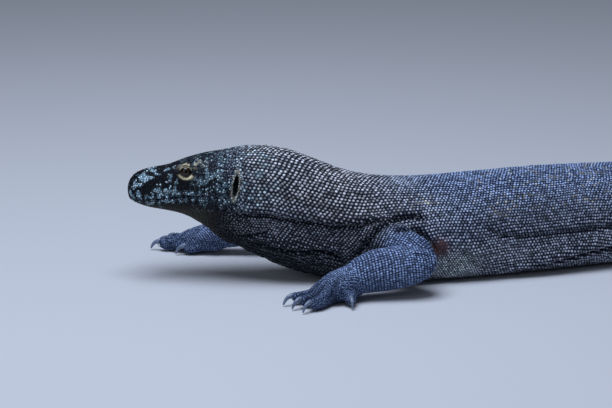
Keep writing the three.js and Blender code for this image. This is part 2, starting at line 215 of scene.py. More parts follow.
def curve_through(places, steps):
    """Points on a smooth curve through all the places, which slows at close ones."""
    before = np.vstack([2 * places[0] - places[1], places, 2 * places[-1] - places[-2]])
    reach = np.sqrt(np.linalg.norm(np.diff(before, axis=0), axis=1))[:, None]
    slope = np.diff(before, axis=0) / reach
    blend = (before[2:] - before[:-2]) / (reach[:-1] + reach[1:])
    tangent = slope[:-1] - blend + slope[1:]
    share = np.linspace(0, 1, steps, endpoint=False)[:, None]
    spans = []
    for i in range(len(places) - 1):
        start, end = places[i], places[i + 1]
        leave = tangent[i] * reach[i + 1]
        arrive = tangent[i + 1] * reach[i + 1]
        spans.append(
            (2 * share**3 - 3 * share**2 + 1) * start + (share**3 - 2 * share**2 + share) * leave
            + (-2 * share**3 + 3 * share**2) * end + (share**3 - share**2) * arrive
        )
    return np.vstack(spans + [places[-1:]])


spine = curve_through(SPINE_PLAN, STEPS_PER_SPAN)
spine_at = np.append(0, np.cumsum(np.linalg.norm(np.diff(spine, axis=0), axis=1)))
heading = np.gradient(spine, axis=0)
heading /= np.linalg.norm(heading, axis=1)[:, None]


def on_spine(values, at):
    """The spine's values at distances from the snout's tip."""
    return np.stack([np.interp(at, spine_at, column) for column in values.T], axis=1)


def body_places(points):
    """Each point in the body's terms: along the spine, out to the left, and up."""
    at = np.interp(points[:, 0], spine[:, 0], spine_at)
    for _ in range(ROUNDS_TO_SPINE):
        offset = points[:, :2] - on_spine(spine, at)
        at = at + (offset * on_spine(heading, at)).sum(1)
    offset = points[:, :2] - on_spine(spine, at)
    ahead = on_spine(heading, at)
    left = offset[:, 0] * ahead[:, 1] - offset[:, 1] * ahead[:, 0]
    return np.stack([at, left, points[:, 2]], axis=1)


def from_body(places):
    """The reverse of body_places: points in the room from places on the body."""
    ahead = on_spine(heading, places[:, 0])
    outward = np.stack([ahead[:, 1], -ahead[:, 0]], axis=1)
    return np.column_stack([on_spine(spine, places[:, 0]) + places[:, 1:2] * outward, places[:, 2]])


print("spine", round(spine_at[-1]), "mm long")

# %% [markdown]
# ## Skin
# A lizard's hide is one loose bag over the whole body. The flesh nodes are copied and joined,
# and a voxel remesh closes the thin cuts between them and makes one even net. Smoothing then
# rounds off the facets, more on the broad trunk than on the thin digits.

# %% One closed net over all the flesh
VOXEL = 2.9
FLESH = [name for name in frame["nodes"] if not name.startswith(("claw_", "eye_"))]


def copy_joined(node_names, name):
    """Copies CAD nodes into one object with its own merged mesh."""
    bpy.ops.object.select_all(action="DESELECT")
    for node_name in node_names:
        frame["nodes"][node_name].select_set(True)
    bpy.context.view_layer.objects.active = frame["nodes"][node_names[0]]
    bpy.ops.object.duplicate()
    bpy.ops.object.parent_clear(type="CLEAR_KEEP_TRANSFORM")
    bpy.ops.object.join()
    joined = bpy.context.object
    joined.name = name
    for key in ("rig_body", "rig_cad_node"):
        del joined[key]
    joined.data.materials.clear()
    bpy.ops.object.mode_set(mode="EDIT")
    bpy.ops.mesh.select_all(action="SELECT")
    bpy.ops.mesh.remove_doubles(threshold=0.01 * MM)
    bpy.ops.object.mode_set(mode="OBJECT")
    return joined


def apply_modifier(piece, kind, **settings):
    """Adds one modifier with its settings and applies it."""
    bpy.context.view_layer.objects.active = piece
    modifier = piece.modifiers.new(kind.lower(), kind)
    for key, value in settings.items():
        setattr(modifier, key, value)
    bpy.ops.object.modifier_apply(modifier=modifier.name)


def read_points(piece):
    """The piece's vertices in millimetres, one row each."""
    flat = np.empty(len(piece.data.vertices) * 3, np.float32)
    piece.data.vertices.foreach_get("co", flat)
    return flat.reshape(-1, 3).astype(float) / MM


def write_points(piece, points):
    """Moves the piece's vertices to places in millimetres."""
    piece.data.vertices.foreach_set("co", (points * MM).astype(np.float32).ravel())
    piece.data.update()


def read_normals(piece):
    """The direction in which the surface faces at each vertex."""
    flat = np.empty(len(piece.data.vertices) * 3, np.float32)
    piece.data.vertex_normals.foreach_get("vector", flat)
    return flat.reshape(-1, 3).astype(float)


def count_triangles(piece):
    """A face of n corners counts as n - 2 triangles."""
    return sum(len(face.vertices) - 2 for face in piece.data.polygons)


skin = copy_joined(FLESH + ["eye_left", "eye_right"], "skin")
apply_modifier(skin, "REMESH", mode="VOXEL", voxel_size=VOXEL * MM)
print("skin net", len(skin.data.vertices), "vertices")

# %% [markdown]
# Each vertex of the net is told which node it came from. That decides how much it is
# smoothed here, and later how the rows of scales run on it.

# %% Regions
SMOOTHING = {
    "trunk": 1.0, "neck": 1.0, "tail_root": 0.6, "thigh": 0.6, "arm_upper": 0.6, "head": 0.45,
    "lower_jaw": 0.45, "tail_mid": 0.4, "forearm": 0.5, "shank": 0.4, "tail_rear": 0.25,
    "tail_tip": 0.08, "hand": 0.04, "foot": 0.04,
}
WEIGHT_STEPS = 50


def surface_of(node_names):
    """A search tree over several nodes' faces, and the node that each face belongs to."""
    corners, faces, owners = [], [], []
    for index, name in enumerate(node_names):
        mesh = frame["nodes"][name].data
        first = len(corners)
        corners += [vertex.co[:] for vertex in mesh.vertices]
        faces += [[first + k for k in face.vertices] for face in mesh.polygons]
        owners += [index] * len(mesh.polygons)
    return BVHTree.FromPolygons(corners, faces), np.array(owners)


flesh_tree, face_owner = surface_of(FLESH)


def regions_of(points):
    """For each point, the index in FLESH of the nearest node."""
    nearest = [flesh_tree.find_nearest(point)[2] for point in (points * MM).tolist()]
    return face_owner[np.array(nearest)]


def by_region(table, region_names, fallback=0.0):
    """Looks up a table whose keys are the starts of node names, once for each node."""
    found = []
    for name in region_names:
        fits = [value for start, value in table.items() if name.startswith(start)]
        found.append(fits[0] if fits else fallback)
    return np.array(found)


def set_group(piece, name, weights):
    """A vertex group with one weight for each vertex, rounded to a few steps."""
    group = piece.vertex_groups.new(name=name)
    steps = np.round(np.clip(weights, 0, 1) * WEIGHT_STEPS).astype(int)
    for step in np.unique(steps[steps > 0]):
        group.add(np.flatnonzero(steps == step).tolist(), step / WEIGHT_STEPS, "REPLACE")


region = regions_of(read_points(skin))
set_group(skin, "smoothing", by_region(SMOOTHING, FLESH)[region])
apply_modifier(skin, "SMOOTH", factor=0.5, iterations=50, vertex_group="smoothing")
print("regions", len(np.unique(region)), "vertices", len(region))

# %% [markdown]
# The face needs a finer net than the flank: the lips, the nostrils and the ears are only a
# few millimetres wide. Faces are chosen by where they lie and divided in edit mode. Places
# are given for the left side, and the right side is laid over it when they are used.

# %% Places on the face
EYE_PLACE = (98, 26.5, 185)  # along the spine, out to the side, up
EYE_RADIUS = 11
EAR_PLACE = (179, 53, 167)
NOSTRIL_PLACE = (15, 18, 173)
MOUTH_LINE = [
    (-1, 2, 134.5), (3, 15, 135), (12, 23, 136.5), (39, 30, 138.5), (72, 35, 143), (92, 41, 146),
    (113, 46, 148.5), (134, 51, 148.5), (152, 55, 146.5),
]
FINE_MOUTH, FINE_EYE, FINE_NOSTRIL, FINE_EAR = 5, 19, 8, 11  # how far out the net is finest


def mirrored(places):
    """The same places with the right side laid over the left one."""
    return places * np.where(np.arange(3) == 1, np.sign(places[:, 1:2]) + (places[:, 1:2] == 0), 1)


def distance_from(places, centre, stretch=(1, 1, 1)):
    """Each place's distance from a centre, where a stretch makes some directions count less."""
    return np.linalg.norm((places - centre) / stretch, axis=1)


def along_line(points, line):
    """Each point's distance to a line, the share of it at the nearest place, and its side."""
    curve = curve_through(np.array(line, float), 8)
    start, step = curve[:-1], np.diff(curve, axis=0)
    length = np.linalg.norm(step, axis=1)
    run = np.append(0, np.cumsum(length))
    best = np.full(len(points), np.inf)
    share, side = np.zeros(len(points)), np.zeros(len(points))
    for i in range(len(step)):
        offset = points - start[i]
        t = np.clip(offset @ step[i] / length[i] ** 2, 0, 1)
        offset = offset - t[:, None] * step[i]
        distance = np.linalg.norm(offset, axis=1)
        nearer = distance < best
        best[nearer] = distance[nearer]
        share[nearer] = (run[i] + t[nearer] * length[i]) / run[-1]
        across = step[i][0] * offset[:, 2] - step[i][2] * offset[:, 0]
        side[nearer] = np.sign(across[nearer])
    return best, share, side


print("places on the line of the mouth", len(MOUTH_LINE))

# %% A finer net on the face


def select_faces(piece, vertex_chosen):
    """Selects the faces whose vertices are all chosen, in edit mode's face selection."""
    bpy.context.tool_settings.mesh_select_mode = (False, False, True)
    chosen = vertex_chosen.tolist()
    flags = [all(chosen[k] for k in face.vertices) for face in piece.data.polygons]
    piece.data.vertices.foreach_set("select", np.zeros(len(piece.data.vertices), bool))
    piece.data.edges.foreach_set("select", np.zeros(len(piece.data.edges), bool))
    piece.data.polygons.foreach_set("select", flags)


def refine(piece, vertex_chosen):
    """Divides each chosen face's edges once."""
    bpy.ops.object.mode_set(mode="OBJECT")
    select_faces(piece, vertex_chosen)
    bpy.ops.object.mode_set(mode="EDIT")
    bpy.ops.mesh.subdivide(number_cuts=1, smoothness=0)
    bpy.ops.object.mode_set(mode="OBJECT")


bpy.context.view_layer.objects.active = skin
for reach in (1.5, 1.0):
    places = mirrored(body_places(read_points(skin)))
    near_mouth = along_line(places, MOUTH_LINE)[0] < FINE_MOUTH * reach
    near_eye = distance_from(places, EYE_PLACE) < FINE_EYE * reach
    near_nostril = distance_from(places, NOSTRIL_PLACE) < FINE_NOSTRIL * reach
    near_ear = distance_from(places, EAR_PLACE, (1, 1, 2)) < FINE_EAR * reach
    refine(skin, near_mouth | near_eye | near_nostril | near_ear)
print("skin triangles", count_triangles(skin))

# %% [markdown]
# ## Folds and features
# The hide hangs in long folds under the neck, over the shoulder and along the flank. Each
# fold is a line on the body: the skin sinks sharply along it and swells above it, where the
# upper skin hangs over the lower. Both sides of the body have the same folds. Ear, nostril
# and eye are hollows, and the closed mouth is a fine groove between two lips.

# %% The lines of the folds
FOLDS = [
    # name, depth, half width, swelling above, places
    ("neck fold", 9, 3.6, 5.0, [
        (166, 54, 122), (190, 55, 120), (214, 56, 120), (233, 57, 120), (251, 59, 115), (275, 61, 111),
        (300, 64, 108), (326, 68, 103), (351, 72, 103), (371, 75, 104), (389, 85, 111), (416, 90, 114),
    ]),
    ("jaw fold", 4.5, 2.6, 2.2, [
        (150, 38, 84), (180, 43, 82), (198, 49, 85), (217, 54, 89), (234, 57, 96),
    ]),
    ("throat fold", 3.6, 2.6, 1.6, [(176, 38, 73), (209, 49, 76), (236, 53, 73)]),
    ("dewlap fold", 8, 3.6, 4.6, [
        (190, 40, 69), (225, 48, 66), (252, 53, 60), (276, 57, 57), (301, 62, 60), (324, 66, 58),
        (336, 67, 50), (352, 70, 45),
    ]),
    ("shoulder fold", 9, 3.6, 4.4, [
        (356, 72, 46), (361, 74, 54), (375, 81, 72), (380, 93, 87), (387, 96, 97), (397, 96, 107),
        (411, 90, 113), (428, 84, 114.5), (453, 83, 114), (470, 88, 106),
    ]),
    ("arm fold", 7.5, 3.4, 3.2, [
        (408, 115, 97), (425, 113, 103), (440, 104, 100), (453, 92, 93), (464, 93, 84), (474, 97, 71),
        (483, 98, 52),
    ]),
    ("elbow crease", 2.6, 2.2, 1.4, [(427, 168, 76), (436, 168, 75), (448, 167, 71)]),
    ("flank fold", 4.6, 3.4, 2.4, [
        (536, 92, 102), (561, 99, 91), (582, 103, 78), (604, 105, 75), (651, 109, 72), (706, 110, 74),
        (785, 109, 75), (880, 103, 76), (960, 92, 80),
    ]),
    ("armpit crease", 6, 3.2, 2.4, [(520, 101, 58), (529, 102, 49), (540, 103, 36), (560, 101, 20)]),
    ("belly crease", 7.5, 3.6, 4.0, [
        (585, 91, 6), (610, 96, 9), (627, 98, 13), (654, 106, 20), (672, 107, 20), (702, 110, 25),
        (731, 112, 31), (785, 113, 39), (850, 108, 36), (930, 96, 28), (1000, 84, 16),
    ]),
    ("groin crease", 4, 3, 1.6, [
        (986, 95, 46), (997, 89, 76), (1040, 84, 113), (1066, 71, 102), (1102, 58, 88),
    ]),
]
NECK_FOLD = np.array(FOLDS[0][4], float)
print("folds", [name for name, *_ in FOLDS])

# %% How far the folds lift the skin
FOLD_REACH = 40  # how far from its line a fold still moves the skin
FOLD_ENDS = 0.12  # the share of a fold's length over which each end fades
# The dark at the bottom of a deep crease is painted shade.
FULL_CREASE = 6  # a fold this deep is dark at its bottom


def smooth_step(value, low, high):
    """From 0 at low to 1 at high, without a corner."""
    share = np.clip((value - low) / (high - low), 0, 1)
    return share * share * (3 - 2 * share)


def fall(value, low, high):
    """The reverse of smooth_step: from 1 at low to 0 at high."""
    return 1 - smooth_step(value, low, high)


def band(value, start, full, fading, end):
    """Rises to 1 between the first two values and falls again between the last two."""
    return smooth_step(value, start, full) * fall(value, fading, end)


def bell(distance, width):
    """From 1 at no distance towards 0, past about twice the width."""
    return np.exp(-(distance / width) ** 2)


def faded_ends(share, fade):
    """From 0 at both ends of a line to 1 along its middle."""
    return smooth_step(share, 0, fade) * smooth_step(1 - share, 0, fade)


def near_line(places, line, margin):
    """Whether each place is inside the line's box, widened by a margin."""
    return ((places > line.min(0) - margin) & (places < line.max(0) + margin)).all(1)


def folds_at(places):
    """How far the folds lift the skin at each place, and how deep it is in a crease, 0 to 1."""
    rise, crease = np.zeros(len(places)), np.zeros(len(places))
    for _, depth, width, swelling, line in FOLDS:
        line = np.array(line, float)
        near = near_line(places, line, FOLD_REACH)
        distance, share, side = along_line(places[near], line)
        ends = faded_ends(share, FOLD_ENDS)
        beside = smooth_step(distance, 0, width)
        upper = (side > 0) * beside * bell(distance - 2.6 * width, 2.2 * width)
        lower = (side < 0) * beside * bell(distance - 3.5 * width, 3 * width)
        sunk = ends * bell(distance, width)
        rise[near] += ends * swelling * (upper - 0.25 * lower) - depth * sunk
        crease[near] = np.maximum(crease[near], sunk * min(depth / FULL_CREASE, 1))
    return rise, crease


under_neck_fold = folds_at(NECK_FOLD[5:6])
print("in the neck fold the skin moves", round(float(under_neck_fold[0][0]), 1), "mm")

# %% [markdown]
# The net is now finer than most of the body needs. It is thinned on the smooth flanks, the
# limbs and the tail, and kept whole on the face and the hands and along every fold.

# %% Fewer faces where nothing folds
SKIN_TRIANGLES = 194000
FOLD_MARGIN = (9, 22)  # kept fine up to the first distance, and thinned fully from the second
PLAINNESS = {"head": 0, "lower_jaw": 0, "hand": 0, "foot": 0.1, "": 1}
THROAT_ENDS, THROAT_TOP = 400, 110  # the throat ripples, so it is thinned less
THROAT_PLAINNESS = 0.3


def fold_distance(places):
    """Each place's distance to the nearest fold, up to the margin that is kept fine."""
    nearest = np.full(len(places), float(FOLD_MARGIN[1]))
    for *_, line in FOLDS:
        line = np.array(line, float)
        near = near_line(places, line, FOLD_MARGIN[1])
        nearest[near] = np.minimum(nearest[near], along_line(places[near], line)[0])
    return nearest


points = read_points(skin)
places = mirrored(body_places(points))
plainness = by_region(PLAINNESS, FLESH)[regions_of(points)]
plainness *= smooth_step(fold_distance(places), *FOLD_MARGIN)
on_throat = (places[:, 0] < THROAT_ENDS) & (places[:, 2] < THROAT_TOP)
plainness *= np.where(on_throat, THROAT_PLAINNESS, 1)
set_group(skin, "plain", plainness)
ratio = SKIN_TRIANGLES / count_triangles(skin)
apply_modifier(skin, "DECIMATE", ratio=ratio, vertex_group="plain", vertex_group_factor=1.0)
print("skin triangles", count_triangles(skin))

# %% [markdown]
# The digits of a hand lie side by side with a cleft between each two. The net is too coarse to
# hold the gaps of the solids, so the clefts are pressed in again along lines from the wrist.

# %% Clefts between the digits
CLEFT_DEPTH = 6
CLEFT_WIDTH = 3.2
CLEFT_START, CLEFT_END = 0.32, 1.1  # of the way from the wrist to the claws
CLEFT_FADE = 0.35  # the share of a cleft's length over which it deepens


def node_points(name):
    """A solid's corners in millimetres."""
    return read_points(frame["nodes"][name])


def wrist_and_claw_roots(name):
    """The top of a hand or foot, and where its five claws leave their digits."""
    palm = node_points(name)
    wrist = palm[palm[:, 2] > np.percentile(palm[:, 2], 90)].mean(0)
    claws = [node_points(f"claw_{name}_{digit}") for digit in range(1, 6)]
    return wrist, np.array([claw[np.argsort(claw[:, 2])[-6:]].mean(0) for claw in claws])


clefts = []
for name in FLESH:
    if name.startswith(("hand", "foot")):
        wrist, claw_roots = wrist_and_claw_roots(name)
        for claw_root, next_root in zip(claw_roots, claw_roots[1:]):
            reach = (claw_root + next_root) / 2 - wrist
            clefts.append(((wrist + CLEFT_START * reach)[:2], (wrist + CLEFT_END * reach)[:2]))


def cleft_at(points):
    """How deep each point lies in a cleft between two digits, from 0 to 1, seen from above."""
    deep = np.zeros(len(points))
    for start, end in clefts:
        step = end - start
        share = (points[:, :2] - start) @ step / (step @ step)
        nearest = start + np.clip(share, 0, 1)[:, None] * step
        beside = np.linalg.norm(points[:, :2] - nearest, axis=1)
        deep = np.maximum(deep, smooth_step(share, 0, CLEFT_FADE) * bell(beside, CLEFT_WIDTH))
    return deep


print("clefts", len(clefts))

# %% [markdown]
# No part of a live animal is quite even. Soft noise gives the lumps of muscle and fat, and
# cosines that waver with the same noise give the ripples of loose hide. Both are worked out
# from the place alone, so they are the same in every run.

# %% Smooth unevenness: muscle, fat and loose hide


def lumps(points, size, seed):
    """Soft noise from -1 to 1 whose lumps are about one size across."""
    cell = points / size
    low = np.floor(cell).astype(np.int64)
    share = cell - low
    share = share * share * (3 - 2 * share)
    total = np.zeros(len(points))
    for corner in range(8):
        step = np.array([corner & 1, corner >> 1 & 1, corner >> 2 & 1])
        key = (low + step) @ np.array([73856093, 19349663, 83492791]) + seed * 2654435761
        key = (key ^ (key >> 13)) * 1274126177 & 0x7FFFFFFF
        weight = np.prod(np.where(step, share, 1 - share), axis=1)
        total += weight * ((key ^ (key >> 16)) % 4096 / 2047.5 - 1)
    return total


def wrinkles(run, across, spacing, points, seed):
    """Uneven parallel ripples: run is measured across them and wavers with the place."""
    waver = lumps(points, spacing * 3, seed) * 0.9 + across * 0.02
    return np.cos(2 * pi * (run / spacing + waver))


def flank_ripples(places, points):
    """Slanting ripples of loose hide on the flank, from -1 to 1, and 0 elsewhere."""
    at, _, up = places.T
    where = bell(at - 690, 120) * bell(up - 118, 42)
    return where * wrinkles(0.77 * at + 0.63 * up, at, 31, points, 6)


print("unevenness at the snout", round(float(lumps(np.zeros((1, 3)), 58, 4)[0]), 2))

# %% [markdown]
# The ear is a tall slanting slit with a raised rim, and the nostril a small oval near the
# snout's tip. The eye sits in a hollow under a bony ridge, which runs on to the nostril. All
# are shapes of the one skin, so each is a sum of smooth hollows and ridges.

# %% Hollows of the ear, the nostril and the eye
EAR_HALF_SIZES, EAR_LEAN, EAR_DEPTH, EAR_RIM = (4.8, 19), -9, 9, 1.8
NOSTRIL_HALF_SIZES, NOSTRIL_LEAN, NOSTRIL_DEPTH, NOSTRIL_RIM = (4.6, 2.3), 28, 5, 1.1
ORBIT_PLACE = (98, 30, 186)
ORBIT_HALF_SIZES, ORBIT_LEAN, ORBIT_DEPTH = (12, 10), -4, 6
LIP_DEPTH, LIP_WIDTH, LIP_SWELLING = 3.4, 1.2, 1.1
BROW_RIDGE = [(72, 29, 192), (86, 29.5, 198.5), (100, 31, 200), (114, 33, 197)]
SNOUT_RIDGE = [(22, 19, 179), (40, 22.5, 183), (58, 26, 186), (74, 29, 191)]
WOUND_PLACE, WOUND_STRETCH = (372, 53, 150), (1.6, 1, 1)  # an old sore on the neck
FAR = 9  # stands for any place beyond an oval


def oval_reach(places, centre, half_sizes, lean):
    """How far a place is from an oval's middle, where 1 is its edge. lean is in degrees."""
    along, up = places[:, 0] - centre[0], places[:, 2] - centre[2]
    turn = radians(lean)
    a = (along * cos(turn) + up * sin(turn)) / half_sizes[0]
    b = (up * cos(turn) - along * sin(turn)) / half_sizes[1]
    same_side = places[:, 1] > centre[1] * 0.55
    return np.where(same_side, np.hypot(a, b), FAR)


def hollow(reach, depth, rim):
    """A hollow inside an oval with a raised rim round it."""
    return rim * bell(reach - 1.25, 0.3) - depth * fall(reach, 0.45, 1.1)


def ear_reach(places):
    """Below 1 inside the ear."""
    return oval_reach(places, EAR_PLACE, EAR_HALF_SIZES, EAR_LEAN)


def nostril_reach(places):
    """Below 1 inside the nostril."""
    return oval_reach(places, NOSTRIL_PLACE, NOSTRIL_HALF_SIZES, NOSTRIL_LEAN)


def orbit_reach(places):
    """Below 1 inside the hollow that holds the eye and its lids."""
    return oval_reach(places, ORBIT_PLACE, ORBIT_HALF_SIZES, ORBIT_LEAN)


def ridge(places, line, width):
    """A rounded ridge along a line, from 0 to 1, fading at its ends."""
    distance, share, _ = along_line(places, line)
    return bell(distance, width) * faded_ends(share, 0.2)


def features_at(places):
    """How far the lips, openings, ridges and the sore lift the skin at each place."""
    at, _, up = places.T
    distance, share, _ = along_line(places, MOUTH_LINE)
    lips = LIP_SWELLING * bell(distance - 3.4, 2.2) - LIP_DEPTH * bell(distance, LIP_WIDTH)
    rise = smooth_step(1 - share, 0, 0.1) * lips
    rise += hollow(ear_reach(places), EAR_DEPTH, EAR_RIM)
    rise += hollow(nostril_reach(places), NOSTRIL_DEPTH, NOSTRIL_RIM)
    rise += hollow(orbit_reach(places), ORBIT_DEPTH, 0)
    rise += 1.8 * ridge(places, BROW_RIDGE, 4) + 0.9 * ridge(places, SNOUT_RIDGE, 3.2)
    rise -= 1.2 * fall(at, 2, 44) * smooth_step(up, 166, 176)  # a flat nose
    wound = distance_from(places, WOUND_PLACE, WOUND_STRETCH)
    return rise + 1.2 * bell(wound - 6, 2) - 3 * bell(wound, 3.6)


def loose_hide_at(places, points, on_limb):
    """How far the ripples and lumps of loose hide lift the skin at each place."""
    at, out, up = places.T
    throat = band(at, 70, 130, 330, 380) * fall(up, 60, 125)
    rise = 1.2 * throat * wrinkles(up, at, 8, points, 1)
    rise += 0.8 * flank_ripples(places, points)
    rise = np.where(on_limb, 0, rise)
    armpit = bell(at - 525, 38) * bell(up - 24, 26) * smooth_step(out, 60, 90)
    rise += 0.9 * armpit * wrinkles(at + 0.4 * up, up, 8, points, 2)
    belly = band(at, 600, 660, 980, 1040) * fall(up, 12, 34)
    rise += 0.8 * belly * wrinkles(up - 0.05 * at, at, 7, points, 3)
    muscle = np.where(on_limb, 0.4, smooth_step(at, 180, 320))
    return rise + muscle * (1.1 * lumps(points, 58, 4) + 0.5 * lumps(points, 24, 5))


print("ear, nostril and orbit at", EAR_PLACE, NOSTRIL_PLACE, ORBIT_PLACE)

# %% [markdown]
# Now every vertex moves along its own normal: out by the sum of all these shapes, and in by
# the depth of the scales that will stand on it.

# %% Put the folds into the skin
COAT_DEPTH = {"hand": 0.4, "foot": 0.4, "": 1.0}
FLOOR_CLEARANCE = 0.6
LIMB_NODES = {"arm_": 1, "forearm": 1, "hand": 1, "thigh": 1, "shank": 1, "foot": 1}

points = read_points(skin)
normals = read_normals(skin)
places = mirrored(body_places(points))
region = regions_of(points)
on_limb = by_region(LIMB_NODES, FLESH)[region] > 0
rise = folds_at(places)[0] + features_at(places) + loose_hide_at(places, points, on_limb)
rise -= CLEFT_DEPTH * cleft_at(points) + by_region(COAT_DEPTH, FLESH)[region]
points += normals * rise[:, None]
points[:, 2] = np.maximum(points[:, 2], FLOOR_CLEARANCE)
write_points(skin, points)
bpy.ops.object.select_all(action="DESELECT")
skin.select_set(True)
bpy.ops.object.shade_smooth()
skin.select_set(False)
print("skin", len(points), "vertices,", count_triangles(skin), "triangles")

# %% [markdown]
# ## Where the scales grow
# A monitor's scales stand in rows: across the back, round each limb and over each digit. So
# every region of the skin gets two coordinates, one along its rows and one across them, both
# counted in scales. On the long body the second comes from the true distance round the
# section from the middle of the back, which is measured here from the skin itself.

# %% The distance round the body
RING_STEP = 10
RING_ANGLES = 36
RING_BLUR = 3
TINY = 1e-9  # keeps a division from failing


def smoothed(table):
    """A table's columns blurred along the body, so that thinly covered rings borrow."""
    blur = bell(np.arange(-RING_BLUR * 2, RING_BLUR * 2 + 1), RING_BLUR)
    padded = np.pad(table, ((len(blur) // 2, len(blur) // 2), (0, 0)), mode="edge")
    return np.stack([np.convolve(column, blur / blur.sum(), "valid") for column in padded.T], axis=1)


def measure_rings(places):
    """The middle height of each ring of the body, and the distance round it by angle."""
    ring = np.clip((places[:, 0] / RING_STEP).astype(int), 0, None)
    count = ring.max() + 1
    top, bottom = np.full(count, -np.inf), np.full(count, np.inf)
    np.maximum.at(top, ring, places[:, 2])
    np.minimum.at(bottom, ring, places[:, 2])
    filled = np.flatnonzero(top > bottom)
    middle = np.interp(np.arange(count), filled, (top[filled] + bottom[filled]) / 2)
    middle = smoothed(middle[:, None])[:, 0]
    angle = np.arctan2(np.abs(places[:, 1]), places[:, 2] - middle[ring])
    column = np.round(angle / pi * RING_ANGLES).astype(int)
    total, hits = np.zeros((count, RING_ANGLES + 1)), np.zeros((count, RING_ANGLES + 1))
    np.add.at(total, (ring, column), np.hypot(places[:, 1], places[:, 2] - middle[ring]))
    np.add.at(hits, (ring, column), 1)
    total, hits = smoothed(total), smoothed(hits)
    reach = total / np.maximum(hits, TINY)
    for k in range(RING_ANGLES + 1):
        known = np.flatnonzero(hits[:, k] > TINY)
        reach[:, k] = np.interp(np.arange(count), known, reach[known, k])
    turns = np.arange(RING_ANGLES + 1) / RING_ANGLES * pi
    outline = np.stack([reach * np.sin(turns), reach * np.cos(turns)], axis=2)
    chords = np.linalg.norm(np.diff(outline, axis=1), axis=2)
    return middle, np.hstack([np.zeros((count, 1)), np.cumsum(chords, axis=1)])


def between(table, row, column):
    """Reads a table between its cells."""
    row = np.clip(row, 0, table.shape[0] - 1.001)
    column = np.clip(column, 0, table.shape[1] - 1.001)
    i, j = row.astype(int), column.astype(int)
    a, b = row - i, column - j
    upper = table[i, j] * (1 - b) + table[i, j + 1] * b
    lower = table[i + 1, j] * (1 - b) + table[i + 1, j + 1] * b
    return upper * (1 - a) + lower * a


points = read_points(skin)
normals = read_normals(skin)
places = body_places(points)
region = regions_of(points)
on_limb = by_region(LIMB_NODES, FLESH)[region] > 0
ring_middle, ring_distance = measure_rings(places[~on_limb])


def round_body(places):
    """The signed distance round the body from the middle of the back."""
    row = places[:, 0] / RING_STEP - 0.5
    middle = np.interp(row, np.arange(len(ring_middle)), ring_middle)
    angle = np.arctan2(np.abs(places[:, 1]), places[:, 2] - middle)
    return np.sign(places[:, 1]) * between(ring_distance, row, angle / pi * RING_ANGLES)


def half_girth(at):
    """The distance round the body from the middle of the back to that of the belly."""
    return np.interp(at / RING_STEP, np.arange(len(ring_distance)), ring_distance[:, -1])


MID_TRUNK = 760
print("rings", ring_distance.shape, "half girth at mid trunk", round(half_girth(MID_TRUNK)), "mm")

# %% [markdown]
# The rows' spacing is given at a few stations along the body and runs smoothly between them.
# On the neck the beads are largest and longest, and they are smallest at the tail's tip.

# %% Rows on the long body
ROW_STATIONS = np.array([
    # along the spine, spacing in a row, spacing of rows, bead height
    [150, 5.0, 4.2, 1.2], [200, 6.0, 4.9, 1.6], [262, 6.8, 5.4, 1.9], [392, 6.2, 5.2, 1.6],
    [480, 5.2, 4.8, 1.25], [800, 5.2, 4.9, 1.2], [1120, 5.6, 4.8, 1.2], [1500, 6.2, 4.4, 1.3],
    [2000, 5.6, 3.8, 1.1], [2500, 4.4, 3.0, 0.8],
])


def station(at, column):
    """One column of the table above at distances along the spine."""
    return np.interp(at, ROW_STATIONS[:, 0], ROW_STATIONS[:, column])


RULER_STEP = 5.0
ruler = np.arange(0, 2530, RULER_STEP)
scales_before = np.append(0, np.cumsum(RULER_STEP / station(ruler[:-1] + RULER_STEP / 2, 1)))


def body_rows(points, fineness):
    """Each point's place in the lattice of scales: scales along the row, and rows round.
    The rows waver by about a scale, as they do where the hide has stretched."""
    places = body_places(points)
    along = np.interp(places[:, 0], ruler, scales_before) + 0.9 * lumps(points, 55, 31)
    across = round_body(places) / station(places[:, 0], 2) + 0.8 * lumps(points, 48, 32)
    return np.stack([along, across], axis=1) * fineness


print("scales from end to end in a row of the back", round(scales_before[-1]))

# %% [markdown]
# A limb or a digit has a straight axis of its own. Its scales are counted along the axis and
# its rows round it, by the radius that its own points have there.

# %% Rows on the limbs and the digits
LIMB_SCALE = (4.9, 4.0, 0.8)  # in a row, between rows, height
DIGIT_SCALE = (3.4, 2.9, 0.34)
SLICE = 6  # the length of limb over which its radius is averaged
TRUNK_MIDDLE_HEIGHT = 60


def rows_about(axis_start, axis_end, chosen, in_row, between_rows):
    """Each point's place in a limb's lattice, and the number of rows half way round."""
    direction = (axis_end - axis_start) / np.linalg.norm(axis_end - axis_start)
    side = np.cross(direction, (0, 0, 1))
    side /= np.linalg.norm(side)
    rise = np.cross(side, direction)
    offset = points - axis_start
    run = offset @ direction
    width = np.linalg.norm(offset - run[:, None] * direction, axis=1)
    cell = np.round((run[chosen] - run[chosen].min()) / SLICE).astype(int)
    radius = np.bincount(cell, width[chosen]) / np.maximum(np.bincount(cell), 1)
    radius = np.interp(run, run[chosen].min() + np.arange(len(radius)) * SLICE, radius)
    turn = np.arctan2(offset @ side, offset @ rise)
    along = run / in_row + 0.6 * lumps(points, 36, 33)
    return np.stack([along, turn * radius / between_rows], axis=1), pi * radius / between_rows


def long_axis(name, away_from):
    """The two ends of a node along its longest direction, the one nearer the trunk first."""
    corners = node_points(name)
    middle = corners.mean(0)
    direction = np.linalg.svd(corners - middle)[2][0]
    run = (corners - middle) @ direction
    ends = [middle + direction * run.min(), middle + direction * run.max()]
    ends.sort(key=lambda end: np.linalg.norm(end - away_from))
    return ends


def nearest_digit(points, wrist, claw_roots):
    """For each point of a hand, the digit whose middle line is nearest."""
    distances = []
    for claw_root in claw_roots:
        step = claw_root - wrist
        share = np.clip((points - wrist) @ step / (step @ step), 0, 1)
        distances.append(distance_from(points, wrist + share[:, None] * step))
    return np.argmin(distances, axis=0)


